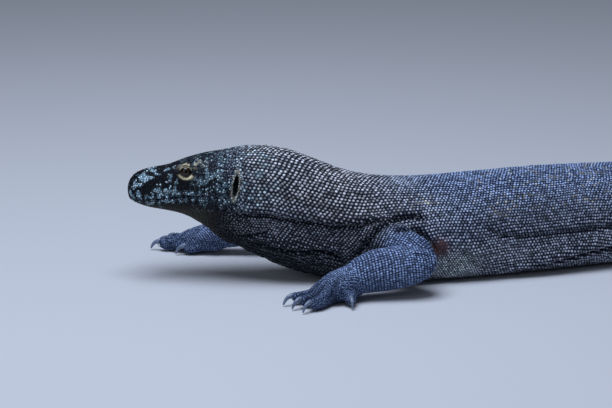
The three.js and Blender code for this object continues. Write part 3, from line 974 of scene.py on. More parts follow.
patches = []  # chosen vertices, their rows, rows half way round, a scale's sizes
for index, name in enumerate(FLESH):
    if name.startswith(("hand", "foot")):
        wrist, claw_roots = wrist_and_claw_roots(name)
        mine = np.flatnonzero(region == index)
        nearest = nearest_digit(points[mine], wrist, claw_roots)
        for digit, claw_root in enumerate(claw_roots):
            chosen = np.zeros(len(points), bool)
            chosen[mine[nearest == digit]] = True
            rows, half_turn = rows_about(wrist, claw_root, chosen, *DIGIT_SCALE[:2])
            patches.append((chosen, rows, half_turn, DIGIT_SCALE))
    elif any(name.startswith(start) for start in LIMB_NODES):
        at = body_places(node_points(name)).mean(0)[:1]
        start, end = long_axis(name, np.append(on_spine(spine, at)[0], TRUNK_MIDDLE_HEIGHT))
        rows, half_turn = rows_about(start, end, region == index, *LIMB_SCALE[:2])
        patches.append((region == index, rows, half_turn, LIMB_SCALE))
print("patches of limb scales", len(patches))

# %% [markdown]
# A scale grows wherever the lattice of rows meets the skin. Each triangle of the skin is
# searched for lattice places inside it, all triangles at once. The place's position, lie and
# normal come from that triangle. Under the neck and behind the armpit the rows are finer.

# %% Where a lattice meets the skin
skin.data.calc_loop_triangles()
triangles = np.empty(len(skin.data.loop_triangles) * 3, np.int32)
skin.data.loop_triangles.foreach_get("vertices", triangles)
triangles = triangles.reshape(-1, 3)


def lattice_hits(rows, stagger):
    """Which triangles hold a place of the lattice, and the corners' shares in that place."""
    low, high = rows.min(1), rows.max(1)
    first_row = np.ceil(low[:, 1])
    hits, all_shares = [], []
    for k in range(int((high[:, 1] - first_row).max()) + 1):
        row = first_row + k
        shift = (row % 2) * stagger
        first_scale = np.ceil(low[:, 0] - shift)
        for m in range(int((high[:, 0] - shift - first_scale).max()) + 1):
            scale = first_scale + m + shift
            open_ones = np.flatnonzero((row <= high[:, 1]) & (scale <= high[:, 0]))
            target = np.stack([scale[open_ones], row[open_ones]], axis=1)
            a, b, c = rows[open_ones].transpose(1, 0, 2)
            area = np.cross(b - a, c - a)
            area = np.where(np.abs(area) < TINY, TINY, area)
            second = np.cross(target - a, c - a) / area
            third = np.cross(b - a, target - a) / area
            inside = (second >= 0) & (third >= 0) & (second + third <= 1)
            hits.append(open_ones[inside])
            all_shares.append(np.stack([1 - second - third, second, third], axis=1)[inside])
    return np.concatenate(hits), np.vstack(all_shares)


def lattice_roots(rows, half_turn, chosen, stagger):
    """Where the lattice of scales meets the chosen triangles. half_turn is the number of rows
    half way round: a triangle that spans more lies across the seam, where two sides meet."""
    mine = triangles[chosen[triangles].any(axis=1)]
    rows = rows[mine]
    fits = np.ptp(rows[:, :, 1], axis=1) < half_turn[mine[:, 0]]
    mine, rows = mine[fits], rows[fits]
    hits, shares = lattice_hits(rows, stagger)
    corners, rows = mine[hits], rows[hits]
    place = (points[corners] * shares[:, :, None]).sum(1)
    normal = (normals[corners] * shares[:, :, None]).sum(1)
    edge1 = points[corners[:, 1]] - points[corners[:, 0]]
    edge2 = points[corners[:, 2]] - points[corners[:, 0]]
    row1, row2 = rows[:, 1] - rows[:, 0], rows[:, 2] - rows[:, 0]
    turn = np.sign(np.cross(row1, row2))[:, None]
    lie = (edge1 * row2[:, 1:] - edge2 * row1[:, 1:]) * turn
    return place, normal, lie


def unit(vectors):
    """The same directions with a length of 1."""
    return vectors / np.maximum(np.linalg.norm(vectors, axis=-1, keepdims=True), TINY)


print("triangles to search", len(triangles))

# %% Roots of scales on the rows
STAGGER = 0.5  # odd rows of the body are shifted by this share of a scale
HEAD_ROWS_FROM = 186
FINE_HIDE = 1.32  # how many more scales to a length
PLACE, NORMAL, LIE, SIZES, KIND = slice(0, 3), slice(3, 6), slice(6, 9), slice(9, 12), 12
ON_ROWS, SCATTERED, ON_LIDS = 0, 1, 2
roots = []  # tables whose columns are the ones just named


def finer_hide(places):
    """Whether a place has finer scales: below the neck's long fold, and behind the armpit."""
    at, side, up = places.T
    throat = (at < THROAT_ENDS) & (up < np.interp(at, NECK_FOLD[:, 0], NECK_FOLD[:, 2]))
    armpit = (np.hypot((at - 510) / 45, (up - 30) / 28) < 1) & (side > 60)
    return throat | armpit


def add_roots(place, normal, lie, sizes, kind):
    """Adds one table of roots, all of one kind."""
    sizes = np.broadcast_to(sizes, (len(place), 3))
    roots.append(np.hstack([place, unit(normal), unit(lie), sizes, np.full((len(place), 1), kind)]))


def station_sizes(at):
    """A body scale's three sizes at distances along the spine."""
    return np.stack([station(at, column) for column in (1, 2, 3)], axis=1)


on_body = ~on_limb & (places[:, 0] > HEAD_ROWS_FROM)
half_rows = half_girth(places[:, 0]) / station(places[:, 0], 2)
fine_hide = finer_hide(mirrored(places))
for fineness in (1, FINE_HIDE):
    chosen = on_body & (fine_hide == (fineness > 1))
    found = lattice_roots(body_rows(points, fineness), half_rows * fineness, chosen, STAGGER)
    add_roots(*found, station_sizes(body_places(found[0])[:, 0]) / fineness, ON_ROWS)
for chosen, rows, half_turn, sizes in patches:
    add_roots(*lattice_roots(rows, half_turn, chosen, 0), sizes, ON_ROWS)
print("scales on rows", sum(len(table) for table in roots))

# %% [markdown]
# The head's scales are small and stand in no rows, so their places are scattered over it,
# each as far from its neighbours as its own size asks. The same scatter fills what the rows
# leave open where two regions meet.

# %% Scattered roots
CANDIDATES = 190000
HEAD_CROWD, HAND_CROWD = 14, 5  # how many times as many candidates as on the body
HEAD_SCATTER_TO = HEAD_ROWS_FROM + 6
LOOSE_LIMB_SCALE = (4.2, 4.2, 0.8)
LOOSE_HAND_SCALE = (2.9, 2.9, 0.34)

chance = np.random.default_rng(7)
corner = points[triangles]
edges = corner[:, 1:] - corner[:, :1]
face_area = np.linalg.norm(np.cross(edges[:, 0], edges[:, 1]), axis=1) / 2
face_on_limb = on_limb[triangles[:, 0]]
face_on_hand = by_region({"hand": 1, "foot": 1}, FLESH)[region[triangles[:, 0]]] > 0
face_on_head = (places[triangles[:, 0], 0] < HEAD_SCATTER_TO) & ~face_on_limb
wish = face_area * np.where(face_on_head, HEAD_CROWD, np.where(face_on_hand, HAND_CROWD, 1))
pick = chance.choice(len(triangles), CANDIDATES, p=wish / wish.sum())
share = np.sort(chance.random((CANDIDATES, 2)), axis=1)
share = np.stack([share[:, 0], share[:, 1] - share[:, 0], 1 - share[:, 1]], axis=1)[:, :, None]
place = (corner[pick] * share).sum(1)
normal = (normals[triangles[pick]] * share).sum(1)
at = body_places(place)[:, 0]
lie = np.hstack([on_spine(heading, at), np.zeros((len(at), 1))])
sizes = station_sizes(at)
sizes[face_on_limb[pick]] = LOOSE_LIMB_SCALE
sizes[face_on_hand[pick]] = LOOSE_HAND_SCALE


def head_sizes(places):
    """A head scale's size: small round the eye and the ear, larger on the lips and the nape."""
    out = mirrored(places)
    near_eye = bell(distance_from(out, EYE_PLACE) - 8, 12)
    near_ear = bell(distance_from(out, EAR_PLACE, (1, 1, 1.8)), 14)
    near_lip = bell(along_line(out, MOUTH_LINE)[0] - 4, 3)
    towards_neck = smooth_step(places[:, 0], 120, HEAD_ROWS_FROM)
    size = 3.1 - 0.9 * near_eye - 0.7 * near_ear + 0.5 * near_lip + 1.3 * towards_neck * (1 - near_ear)
    return np.stack([size, size, 0.5 + 0.5 * towards_neck], axis=1)


on_head = (at < HEAD_SCATTER_TO) & ~face_on_limb[pick]
sizes[on_head] = head_sizes(body_places(place[on_head]))
add_roots(place, normal, lie, sizes, SCATTERED)
roots = np.vstack(roots)
print("candidates", len(roots))

# %% Thinning crowded roots
ROOM_ON_ROWS, ROOM_SCATTERED = 0.62, 0.86  # the least distance, as a share of a scale's size


def thin_out(roots):
    """Keeps a root unless an earlier one is too near. Scattered ones need more room."""
    spots = roots[:, PLACE].tolist()
    tree = kdtree.KDTree(len(spots))
    for index, spot in enumerate(spots):
        tree.insert(spot, index)
    tree.balance()
    size = np.sqrt(roots[:, 9] * roots[:, 10])
    scattered = roots[:, KIND] == SCATTERED
    needs = (np.where(scattered, ROOM_SCATTERED, ROOM_ON_ROWS) * size).tolist()
    kept = np.ones(len(roots), bool)
    scatter, reach = scattered.tolist(), size.tolist()
    for index, spot in enumerate(spots):
        if not kept[index]:
            continue
        own_need = needs[index] if scatter[index] else 0
        for _, other, distance in tree.find_range(spot, reach[index]):
            if other > index and distance < max(own_need, needs[other]):
                kept[other] = False
    return roots[kept]


def bare(places):
    """Where no scale grows: in a crease's bottom, the mouth's line, and the three openings."""
    holes = (ear_reach(places) < 0.95) | (nostril_reach(places) < 0.9) | (orbit_reach(places) < 0.95)
    return holes | (folds_at(places)[1] > 0.62) | (along_line(places, MOUTH_LINE)[0] < 0.9)


roots = thin_out(roots)
roots = roots[~bare(mirrored(body_places(roots[:, PLACE])))]
print("scales", len(roots), "of them scattered", int((roots[:, KIND] == SCATTERED).sum()))

# %% [markdown]
# ## Eyes, lids and claws
# The eye is a glossy ball, dark brown with a round pupil, made as a sphere whose pole is the
# gaze. The lids are one soft ring wrapped over the ball, a little broader below, and paved
# with cream granules. They leave an opening of about 19 mm by 14 mm.

# %% Eyeballs
GAZE_UP = 14  # degrees: the eyes look out and a little upward
SIDES = ((1, "left"), (-1, "right"))


def set_attribute(piece, name, values):
    """One number for each vertex, which a material can read by its name."""
    attribute = piece.data.attributes.new(name, "FLOAT", "POINT")
    attribute.data.foreach_set("value", values.astype(np.float32))


def eye_axes(side):
    """An eye's middle and its three directions: along the head, up over the ball, outward."""
    along, out, up = EYE_PLACE
    middle = from_body(np.array([[along, out * side, up]], float))[0]
    ahead = np.append(on_spine(heading, np.array([along]))[0], 0) * side
    gaze = np.array([ahead[1], -ahead[0], 0]) * cos(radians(GAZE_UP))
    gaze[2] = sin(radians(GAZE_UP))
    return middle, np.stack([ahead, np.cross(gaze, ahead), gaze])


eyeballs = []
for side, name in SIDES:
    bpy.ops.mesh.primitive_uv_sphere_add(segments=48, ring_count=32, radius=EYE_RADIUS * MM)
    eyeball = bpy.context.object
    eyeball.name = f"eyeball_{name}"
    bpy.ops.object.shade_smooth()
    middle, axes = eye_axes(side)
    local = read_points(eyeball)
    off_axis = np.where(local[:, 2] > 0, np.hypot(local[:, 0], local[:, 1]), EYE_RADIUS)
    write_points(eyeball, middle + local @ axes)
    set_attribute(eyeball, "off_axis", off_axis)
    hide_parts(f"eye_{name}")
    eyeballs.append(eyeball)
print("eyeballs", [count_triangles(ball) for ball in eyeballs])

# %% Lids
LID_OPENING = (11.6, 7.8)  # half length and half height, measured over the ball
LID_HALF_WIDTHS = (2.4, 2.6)  # above and below
LID_CORNERS = (-0.3, 0.5)  # heights, counted downward, between which one width turns to the other
LID_THICKNESS = 0.9
LID_CLEARANCE = 0.2  # from the ball to the middle of the lid's thickness
LID_SEGMENTS, LID_ROWS = 72, 12
TORUS_THICKNESS = 0.25
LID_GRANULE = (1.7, 1.4, 0.4)  # along the lid, across it, height

lids, lid_roots = [], []
for side, name in SIDES:
    bpy.ops.mesh.primitive_torus_add(
        major_segments=LID_SEGMENTS, minor_segments=LID_ROWS,
        major_radius=1, minor_radius=TORUS_THICKNESS,
    )
    lid = bpy.context.object
    lid.name = f"lids_{name}"
    bpy.ops.object.shade_smooth()
    ring = read_points(lid) * MM
    turn = np.arctan2(ring[:, 1], ring[:, 0])
    outward = (np.hypot(ring[:, 0], ring[:, 1]) - 1) / TORUS_THICKNESS
    raised = ring[:, 2] / TORUS_THICKNESS
    half_width = np.interp(-np.sin(turn), LID_CORNERS, LID_HALF_WIDTHS)
    half_sizes = np.array(LID_OPENING) + (half_width * (1 + outward))[:, None]
    reach = np.stack([np.cos(turn), np.sin(turn)], axis=1) * half_sizes
    distance = np.linalg.norm(reach, axis=1)
    bend = distance / EYE_RADIUS
    radius = EYE_RADIUS + LID_CLEARANCE + LID_THICKNESS * raised
    flat = reach / distance[:, None] * (radius * np.sin(bend))[:, None]
    middle, axes = eye_axes(side)
    write_points(lid, middle + np.column_stack([flat, radius * np.cos(bend)]) @ axes)
    lids.append(lid)
    index = np.arange(len(ring))
    checker = (index // LID_ROWS + index % LID_ROWS) % 2 == 0
    chosen = checker & (raised > -0.3)  # none grows on the side against the ball
    lie = np.column_stack([-np.sin(turn), np.cos(turn), np.zeros(len(turn))]) @ axes
    granules = np.broadcast_to((*LID_GRANULE, ON_LIDS), (chosen.sum(), 4))
    places_and_ways = np.hstack([read_points(lid), read_normals(lid), lie])
    lid_roots.append(np.hstack([places_and_ways[chosen], granules]))
roots = np.vstack([roots, *lid_roots])
print("lid granules", sum(len(granules) for granules in lid_roots))

# %% [markdown]
# A claw is a curved cone of horn, broad where it leaves the toe. The solids already have its
# curve, so each is copied, its facets are paired into quads, and subdivision rounds them.
# Rounding takes some width off, and a small swelling gives it back.

# %% Claws
CLAW_ROUNDING = 0.9
claws = []
for name in ("hand_left", "hand_right", "foot_left", "foot_right"):
    nodes = [f"claw_{name}_{digit}" for digit in range(1, 6)]
    claw = copy_joined(nodes, f"claws_{name}")
    bpy.ops.object.mode_set(mode="EDIT")
    bpy.ops.mesh.tris_convert_to_quads()
    bpy.ops.object.mode_set(mode="OBJECT")
    apply_modifier(claw, "SUBSURF", levels=2)
    write_points(claw, read_points(claw) + CLAW_ROUNDING * read_normals(claw))
    bpy.ops.object.shade_smooth()
    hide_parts(*nodes)
    claws.append(claw)
print("claws", [count_triangles(claw) for claw in claws])

# %% [markdown]
# ## Markings
# Skin and scales wear the same colours, so both ask one function how pale, blue or cream the
# hide is at a place. The back and neck are dusty grey, with a painted sky sheen on top, and the
# arms slate blue. The throat is painted almost black as shade, and so are creases and openings.
# The snout is black with clusters of bluish-white scales, and the brow is cream.

# %% Marks of the body


def body_marks(out, points, girth):
    """Pale, blue, rust and dust of the neck and trunk, with painted sky sheen and painted shade. girth
    is 0 on the back, 1 on the belly.
    """
    at, side, up = out.T
    upper = fall(girth, 0.08, 0.58)
    behind = smooth_step(at, 340, 560)
    elbow = bell(at - 500, 45) * bell(up - 72, 34) * smooth_step(side, 60, 90)
    loose = bell(at - 508, 36) * bell(up - 30, 24) * smooth_step(side, 60, 88)
    # The top of the body is paler and bluer: partly dust, partly a painted sheen of the sky.
    pale = 0.42 + 0.33 * behind + 0.44 * upper * (1 - 0.45 * behind)
    pale *= 1 - 0.36 * bell(up - 98, 27) * band(at, 500, 580, 880, 1000)
    # Painted shade: the underside of the neck is darkened almost to black.
    pale *= 1 - 0.8 * smooth_step(girth, 0.6, 0.85) * fall(at, 340, 440)
    # Painted shade in the troughs of the flank's ripples.
    pale *= 1 - 0.3 * np.clip(-flank_ripples(out, points), 0, 1)
    pale = np.maximum(pale, np.maximum(0.85 * elbow, loose))
    lower_neck = smooth_step(girth, 0.3, 0.5) * (1 - behind)
    # The extra blue on the top behind the shoulders is a painted sky sheen.
    blue = np.maximum(0.16 + (0.25 + 0.42 * upper) * behind + 0.2 * lower_neck, 0.42 * elbow)
    uneven = smooth_step(lumps(points, 12, 17), -0.4, 0.6)
    rust = 1.4 * bell(at - 487, 12) * bell(up - 64, 13) + loose * (0.1 + 0.4 * uneven)
    # Dust on the elbow, the loose skin and the limbs, and on the top of the trunk behind the shoulders
    # a painted sky sheen.
    dust = 0.06 + 0.5 * behind * upper + 0.5 * elbow + loose
    return pale, blue, rust, dust, loose


back = np.array([[MID_TRUNK, 0, 250]], float)
pale_on_back = body_marks(back, from_body(back), np.zeros(1))[0]
print("pale on the back at mid trunk", round(float(pale_on_back[0]), 2))

# %% Marks of the face


def face_marks(out):
    """The spots of the face: clusters on the snout, rings, a row over the lips, and flecks."""
    at, side, up = out.T
    patchy = lumps(out, 6, 11) + 0.5 * lumps(out, 2.8, 12)
    clusters = smooth_step(patchy, 0.3, 0.5) * fall(at, 66, 104) * smooth_step(up, 120, 140)
    nose = bell(at - 29, 11) * bell(up - 174, 7.5) * smooth_step(side, 10, 17)
    rings = bell(lumps(out, 9, 18) - 0.3, 0.1)
    rings *= band(at, 38, 56, 120, 150) * band(up, 136, 146, 172, 184)
    over_lips = bell(along_line(out, MOUTH_LINE)[0] - 6, 3) * fall(at, 118, 150)
    lip_row = over_lips * smooth_step(np.cos(2 * pi * at / 11), 0.1, 0.6)
    flecks = smooth_step(lumps(out, 2.3, 13) + 0.3 * lumps(out, 13, 14), 0.16, 0.42)
    cheek = band(at, 98, 122, 215, 275) * smooth_step(up, 118, 146)
    under_eye = bell(at - 104, 24) * bell(up - 163, 8)
    around_nose = smooth_step(nose + 0.3 * patchy, 0.32, 0.5)
    spots = np.maximum.reduce([clusters, around_nose, rings, 0.8 * lip_row, 0.7 * flecks * cheek])
    return spots * (1 - 0.8 * under_eye)


def cream_marks(out, points):
    """Cream on the lids and the brow, and tan round the ear, in old scars and on the flank."""
    at, side, up = out.T
    lid = orbit_reach(out)
    lower = smooth_step(184 - up, 0, 5)
    on_lids = bell(lid - 0.86, 0.07) + lower * bell(lid - 1.02, 0.17)
    on_lids *= smooth_step(np.abs(up - 185.5), 1.5, 5.5) * (0.75 + 0.25 * lower)
    brow = bell(at - 96, 21) * bell(up - 200, 6.5) * smooth_step(side, 19, 26)
    brow *= smooth_step(lumps(out, 6, 15), -0.1, 0.15)
    ear_rim = bell(ear_reach(out) - 1.2, 0.2)
    scars = bell(at - 462, 26) * bell(up - 134, 10) * smooth_step(lumps(points, 4, 16), 0.3, 0.5)
    flank = smooth_step(at, 520, 600) * smooth_step(up, 90, 130)
    flank *= smooth_step(lumps(points, 3.6, 22), 0.5, 0.62)
    chin = fall(at, 110, 160) * fall(up, 118, 140)
    return np.maximum.reduce([
        np.clip(on_lids, 0, 1), brow, 0.4 * ear_rim, 0.7 * scars, 0.4 * flank, 0.04 * chin,
    ])


print("spots beside the nostril", round(float(face_marks(np.array([NOSTRIL_PLACE], float))[0]), 2))

# %% All the marks
# The last mark is painted shade: black in creases, openings, the mouth's groove and the clefts, and
# also the sore's own black.
# dust also carries a painted sky sheen on the top of the trunk.
MARKS = ("pale", "blue", "spot", "cream", "rust", "dust", "gap")


def painted_shade_and_sore_at(out, points, limb, crease):
    """Painted shade, black in the creases, the openings, the mouth's groove and the clefts between
    digits, and the sore's own black.
    """
    at, _, up = out.T
    holes = np.maximum(fall(ear_reach(out), 0.7, 1.05), fall(nostril_reach(out), 0.7, 1.05))
    # A painted sheen: the ear's black is lighter low down towards the snout.
    holes *= 1 - 0.55 * bell(up - EAR_PLACE[2] + 9, 7) * bell(at - EAR_PLACE[0] + 3, 5)
    mouth = bell(along_line(out, MOUTH_LINE)[0], 1.1)
    wound = bell(distance_from(out, WOUND_PLACE, WOUND_STRETCH), 4)
    return np.maximum.reduce([crease, holes, mouth, wound, 0.85 * cleft_at(points) * limb])


def markings(points, limb):
    """The share of each colour at each point, from 0 to 1, one row for each of MARKS."""
    own = body_places(points)
    out = mirrored(own)
    at, side, up = out.T
    girth = np.abs(round_body(own)) / half_girth(at)
    pale, blue, rust, dust, loose = body_marks(out, points, girth)

    # The head is darker and bluer than the body.
    head = fall(at, 135, 220)
    # Painted sky sheen: the top of the head is a little paler.
    crown = smooth_step(up, 178, 200) * smooth_step(at, 60, 130)
    pale += (0.02 + 0.1 * crown - pale) * head
    blue += (0.75 - 0.65 * fall(up, 118, 136) - blue) * head
    dust *= 1 - head
    pale += (0.2 - pale) * bell(along_line(out, MOUTH_LINE)[0], 6) * head

    # The limbs are slate blue from where they leave the body, and darker near the ground, which is
    # painted shade on the hands and feet.
    leaves_at = np.where(at > 700, 70, 92)
    beside_body = smooth_step(side, leaves_at, leaves_at + 34)
    limb = limb * np.where(up < 40, smooth_step(side, 60, 90), beside_body)
    pale += (0.85 - 0.36 * fall(up, 26, 52) + 0.1 * lumps(points, 20, 21) - pale) * limb
    blue += (0.85 - blue) * limb
    dust += (1 - dust) * limb

    # Painted shade: the bottoms of the creases are darkened, then painted black.
    crease = folds_at(out)[1]
    pale *= 1 - 0.7 * crease
    gap = painted_shade_and_sore_at(out, points, limb, crease)
    body_only = 1 - limb
    spot = np.maximum(face_marks(out), loose) * body_only
    cream = np.maximum(cream_marks(out, points), 0.25 * loose) * body_only
    return np.clip(np.stack([pale, blue, spot, cream, rust * body_only, dust, gap]), 0, 1)


for name, values in zip(MARKS, markings(points, on_limb)):
    set_attribute(skin, name, values)
    print(name, "from", round(float(values.min()), 2), "to", round(float(values.max()), 2))
for lid in lids:
    for name, values in zip(MARKS, markings(read_points(lid), False)):
        set_attribute(lid, name, values)

# %% [markdown]
# ## The scale
# One bead is modelled once and then copied. It is a six-sided button with a rounded
# shoulder, sunk a little into the skin, which is few faces for something that is repeated
# more than forty thousand times. Smooth shading makes it a round pebble.

# %% One bead
BEAD_SINK = 0.45  # the share of the button that is under the skin
CROWN_WIDTH, CROWN_RISE = 0.8, 0.42  # the top's width and how far its middle rises
bpy.ops.object.select_all(action="DESELECT")
bpy.ops.mesh.primitive_cylinder_add(vertices=6, radius=1, depth=1, end_fill_type="NGON")
bead = bpy.context.object
bead.name = "bead"
bpy.ops.object.mode_set(mode="EDIT")
bpy.ops.mesh.select_all(action="DESELECT")
bpy.ops.object.mode_set(mode="OBJECT")
for face in bead.data.polygons:
    face.select = face.normal.z > 0.9
bpy.ops.object.mode_set(mode="EDIT")
bpy.ops.transform.resize(value=(CROWN_WIDTH, CROWN_WIDTH, 1))
bpy.ops.mesh.poke(offset=CROWN_RISE)
bpy.ops.mesh.select_all(action="SELECT")
bpy.ops.mesh.quads_convert_to_tris()
bpy.ops.object.mode_set(mode="OBJECT")
bead_points = read_points(bead) * MM
bead_points[:, 2] += 0.5 - BEAD_SINK
bead_points[:, 2] /= bead_points[:, 2].max()
lowest_first = sorted(bead.data.polygons, key=lambda face: face.center.z)
bead_faces = np.array([face.vertices[:] for face in lowest_first])
bpy.data.objects.remove(bead)
print("bead", len(bead_points), "vertices,", len(bead_faces), "triangles")

# %% [markdown]
# Each copy is laid with its length along its row and its tailward edge a little raised, as
# the coat lies. The copies of one region are joined in one piece. Its bake map gives each
# scale a small patch of its own, at its root's place on the unrolled skin.

# %% Pieces of the coat
TILT = radians(7)
BEAD_HALF_SIZES = (0.53, 0.56, 1)  # of a scale's sizes, so that neighbours nearly touch
SPIN, SPREAD, SHIFT = 0.14, 0.09, 0.06  # how much scales differ in turn, size and place
PATCH = 0.0015  # half of a patch on the bake map
PIECES = [
    # name, and where on the spine it ends
    ("scales_head", 196), ("scales_neck", 330), ("scales_shoulder", 500), ("scales_chest", 640),
    ("scales_flank", 790), ("scales_loin", 950), ("scales_hips", 1120), ("scales_tail_root", 1500),
    ("scales_tail_end", 2600),
]
LIMB_PIECES = {
    "arm_": "scales_arms", "forearm": "scales_arms", "hand": "scales_hands",
    "thigh": "scales_legs", "shank": "scales_legs", "foot": "scales_feet",
}


def normalised(values):
    """Stretches values to run from 0.01 to 0.99."""
    low, high = values.min(), values.max()
    return 0.01 + 0.98 * (values - low) / (high - low)


def lay_beads(roots, draw):
    """The places of a bead's copies, and the corners of each, in millimetres."""
    count = len(roots)
    normal, size = roots[:, NORMAL], roots[:, SIZES]
    lie = unit(roots[:, LIE] - (roots[:, LIE] * normal).sum(1, keepdims=True) * normal)
    across = np.cross(normal, lie)
    spin = draw.normal(0, SPIN, count)[:, None]
    lie, across = lie * np.cos(spin) + across * np.sin(spin), across * np.cos(spin) - lie * np.sin(spin)
    raised = normal * cos(TILT) - lie * sin(TILT)
    lie = lie * cos(TILT) + normal * sin(TILT)
    half = size * BEAD_HALF_SIZES * draw.normal(1, SPREAD, (count, 1))
    shift = lie * draw.normal(0, SHIFT, (count, 1)) + across * draw.normal(0, SHIFT, (count, 1))
    place = roots[:, PLACE] + shift * size[:, :1]
    corners = place[:, None] + (bead_points * half[:, None]) @ np.stack([lie, across, raised], axis=1)
    corners[:, :, 2] = np.maximum(corners[:, :, 2], 0)  # nothing goes under the floor
    return place, corners


def new_piece(name, corners, faces):
    """An object made of triangles, smoothly shaded."""
    mesh = bpy.data.meshes.new(name)
    mesh.vertices.add(len(corners))
    mesh.vertices.foreach_set("co", (corners * MM).astype(np.float32).ravel())
    mesh.loops.add(faces.size)
    mesh.loops.foreach_set("vertex_index", faces.astype(np.int32).ravel())
    mesh.polygons.add(len(faces))
    mesh.polygons.foreach_set("loop_start", np.arange(0, faces.size, 3, dtype=np.int32))
    mesh.polygons.foreach_set("use_smooth", np.ones(len(faces), bool))
    mesh.update(calc_edges=True)
    mesh.validate()
    piece = bpy.data.objects.new(name, mesh)
    bpy.context.collection.objects.link(piece)
    return piece


def build_scales(name, roots, limb):
    """Joins a copy of the bead at each root into one piece, with its marks and its bake map."""
    count, corner_count = len(roots), len(bead_points)
    draw = np.random.default_rng(len(name) * 1000 + count)
    place, corners = lay_beads(roots, draw)
    faces = (bead_faces + (np.arange(count) * corner_count)[:, None, None]).reshape(-1, 3)
    piece = new_piece(name, corners.reshape(-1, 3), faces)
    for mark_name, values in zip(MARKS, markings(place, limb)):
        set_attribute(piece, mark_name, np.repeat(values, corner_count))
    set_attribute(piece, "rise", np.tile(np.clip(bead_points[:, 2], 0, 1), count))
    set_attribute(piece, "chance", np.repeat(draw.random(count), corner_count))
    own = body_places(place)
    centre = np.stack([normalised(own[:, 0]), normalised(round_body(own))], axis=1)
    spots = (centre[:, None] + bead_points[:, :2] * PATCH).reshape(-1, 2)
    bake = piece.data.uv_layers.new(name="OFBake")
    bake.data.foreach_set("uv", spots[faces.ravel()].astype(np.float32).ravel())
    return piece


root_region = regions_of(roots[:, PLACE])
root_on_limb = by_region(LIMB_NODES, FLESH)[root_region] > 0
limb_piece = by_region(LIMB_PIECES, FLESH, "")[root_region]
stretch = np.searchsorted([end for _, end in PIECES], body_places(roots[:, PLACE])[:, 0])
coat = []
for index, (name, _) in enumerate(PIECES):
    coat.append(build_scales(name, roots[~root_on_limb & (stretch == index)], False))
for name in sorted(set(LIMB_PIECES.values())):
    coat.append(build_scales(name, roots[root_on_limb & (limb_piece == name)], True))
for piece in coat:
    print(piece.name, len(piece.data.polygons))
print("coat triangles", sum(len(piece.data.polygons) for piece in coat))

# %% [markdown]
# ## Hide and scale
# Reptile skin is keratin: matt between the scales, and a little glossy on their worn crowns.
# The colour runs from a black rim, dark skin and painted shade, to a pale crown, worn and partly a
# painted highlight, so every bead stands out from the gap round it. Each crown has a tone of its own,
# as wear and dust leave it.

# %% Materials of the hide


def mark(material, name):
    """The output of a number that each vertex of the mesh carries."""
    return add_node(material, "Attribute", {"attribute_name": name}).outputs["Fac"]


def mixed(material, amount, start, end, blend="MIX"):
    """A mix of two colours, each written as RRGGBB or taken from another node."""
    start, end = [linear(c) if isinstance(c, str) else c for c in (start, end)]
    inputs = {"Fac": amount, "Color1": start, "Color2": end}
    return add_node(material, "MixRGB", {"blend_type": blend}, inputs).outputs["Color"]


def marked_colour(material, dark, dull, spot):
    """The hide's colour from the marks on the mesh, between a dark and a dusty tone, with painted shade
    and sheen.
    """
    colour = mixed(material, mark(material, "pale"), dark, dull)
    blued = mixed(material, mark(material, "blue"), "FFFFFF", "98BCF6")
    colour = mixed(material, 1, colour, blued, "MULTIPLY")
    # The last tint is painted shade: black in creases, openings and clefts, and on the sore.
    for name, tint in (("spot", spot), ("cream", "ECE4C2"), ("rust", "8C5B45"), ("gap", "05060A")):
        colour = mixed(material, mark(material, name), colour, tint)
    return colour


GRAIN = 1.1 * MM
hide, hide_shader = new_material("dry_loose_hide", 0.7, 1.5)
hide_shader.inputs["Specular IOR Level"].default_value = 0.12
skin_colour = marked_colour(hide, "07090D", "2E343E", "587889")
# Dust, and the painted sky sheen on the trunk's top, turn the hide a dusty blue.
skin_colour = mixed(hide, mark(hide, "dust"), skin_colour, "26324A")
hide_place = add_node(hide, "TexCoord").outputs["Object"]
granules = add_node(hide, "TexVoronoi", {}, {"Vector": hide_place, "Scale": 1 / GRAIN})
grain_bump = add_node(hide, "Bump", {"invert": True}, {
    "Strength": 0.5, "Distance": 0.3 * MM, "Height": granules.outputs["Distance"],
})
hide.node_tree.links.new(skin_colour, hide_shader.inputs["Base Color"])
hide.node_tree.links.new(grain_bump.outputs["Normal"], hide_shader.inputs["Normal"])

scale_horn, scale_shader = new_material("worn_keratin_scale_painted_light", 0.5, 1.5)
scale_shader.inputs["Specular IOR Level"].default_value = 0.16
crown_colour = marked_colour(scale_horn, "0C1018", "EEF0F4", "E2F8FF")
tone = add_node(scale_horn, "MapRange", {}, {
    "Value": mark(scale_horn, "chance"), "To Min": 0.3, "To Max": 1.5,
}).outputs["Result"]
worn_crown_painted_highlight = mixed(scale_horn, 1, crown_colour, tone, "MULTIPLY")
strong_spot = add_node(scale_horn, "Math", {"operation": "POWER"}, {
    0: mark(scale_horn, "spot"), 1: 2.0,
}).outputs["Value"]
# The rim is near black: dark skin between the scales, and painted shade in the gaps between beads. Dust
# and the painted sky sheen lighten it.
rim = mixed(scale_horn, mark(scale_horn, "dust"), "050608", "425070")
rim = mixed(scale_horn, strong_spot, rim, "6F90A4")
rim = mixed(scale_horn, mark(scale_horn, "cream"), rim, "A79D7D")
# From rim to crown: the pale crown is wear and dust, and partly a painted highlight on each bead's top.
rim_to_crown = add_node(scale_horn, "MapRange", {"interpolation_type": "SMOOTHSTEP"}, {
    "Value": mark(scale_horn, "rise"), "From Min": 0.42, "From Max": 0.92,
}).outputs["Result"]
scale_colour = mixed(scale_horn, rim_to_crown, rim, worn_crown_painted_highlight)
scale_horn.node_tree.links.new(scale_colour, scale_shader.inputs["Base Color"])
for piece in [skin, *lids]:
    piece.data.materials.append(hide)
for piece in coat:
    piece.data.materials.append(scale_horn)
print("hide and scales on", 1 + len(lids) + len(coat), "pieces")

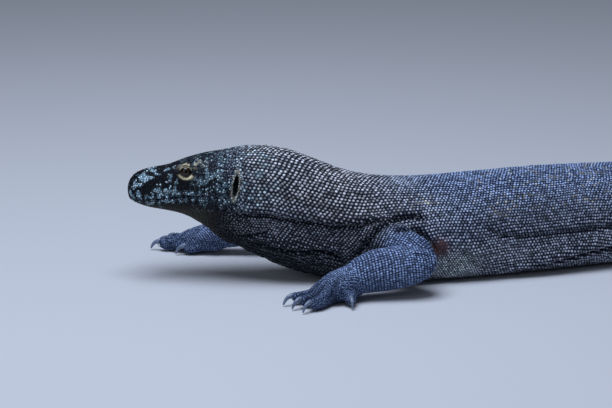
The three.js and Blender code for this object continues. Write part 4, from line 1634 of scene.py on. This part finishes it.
# %% [markdown]
# The eye is wet, so it has the sharpest highlight on the animal, over a brown iris that turns
# almost black at its edge. Claws are polished by the ground: blue-grey horn with streaks.

# %% Materials of the eyes and claws
wet_eye, eye_shader = new_material("wet_eye", 0.08, 1.38)
iris_share = add_node(wet_eye, "MapRange", {}, {
    "Value": mark(wet_eye, "off_axis"), "From Max": EYE_RADIUS,
}).outputs["Result"]
iris = add_node(wet_eye, "ValToRGB", {}, {"Fac": iris_share})
IRIS_STOPS = [
    (0.0, "030303"), (0.3, "030303"), (0.33, "3E2A16"), (0.46, "241509"),
    (0.62, "0E0907"), (1.0, "0A0708"),
]
while len(iris.color_ramp.elements) < len(IRIS_STOPS):
    iris.color_ramp.elements.new(0.5)
for element, (position, colour) in zip(iris.color_ramp.elements, IRIS_STOPS):
    element.position = position
    element.color = linear(colour)
wet_eye.node_tree.links.new(iris.outputs["Color"], eye_shader.inputs["Base Color"])
eye_shader.inputs["Specular IOR Level"].default_value = 0.3
eye_shader.inputs["Coat Weight"].default_value = 0.35
eye_shader.inputs["Coat Roughness"].default_value = 0.03

STREAK_WIDTH = 4 * MM
claw_horn, claw_shader = new_material("polished_claw_horn", 0.26, 1.55)
claw_place = add_node(claw_horn, "TexCoord").outputs["Object"]
streaks = add_node(claw_horn, "TexNoise", {}, {
    "Vector": claw_place, "Scale": 1 / STREAK_WIDTH, "Detail": 3,
}).outputs["Fac"]
horn_colour = mixed(claw_horn, streaks, "27303F", "8A9CBC")
claw_horn.node_tree.links.new(horn_colour, claw_shader.inputs["Base Color"])
for ball in eyeballs:
    ball.data.materials.append(wet_eye)
for claw in claws:
    claw.data.materials.append(claw_horn)
print("materials", [m.name for m in bpy.data.materials if m.users])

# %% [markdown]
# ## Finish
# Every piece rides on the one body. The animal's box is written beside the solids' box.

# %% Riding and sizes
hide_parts(*FLESH)
for slot, pieces in (("hide", [skin, *lids, *coat]), ("eye", eyeballs), ("claw", claws)):
    for piece in pieces:
        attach(piece, "root")
sizes = {"cad": [list(c) for c in cad_box], "visual": [list(c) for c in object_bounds()]}
print("sizes", sizes)
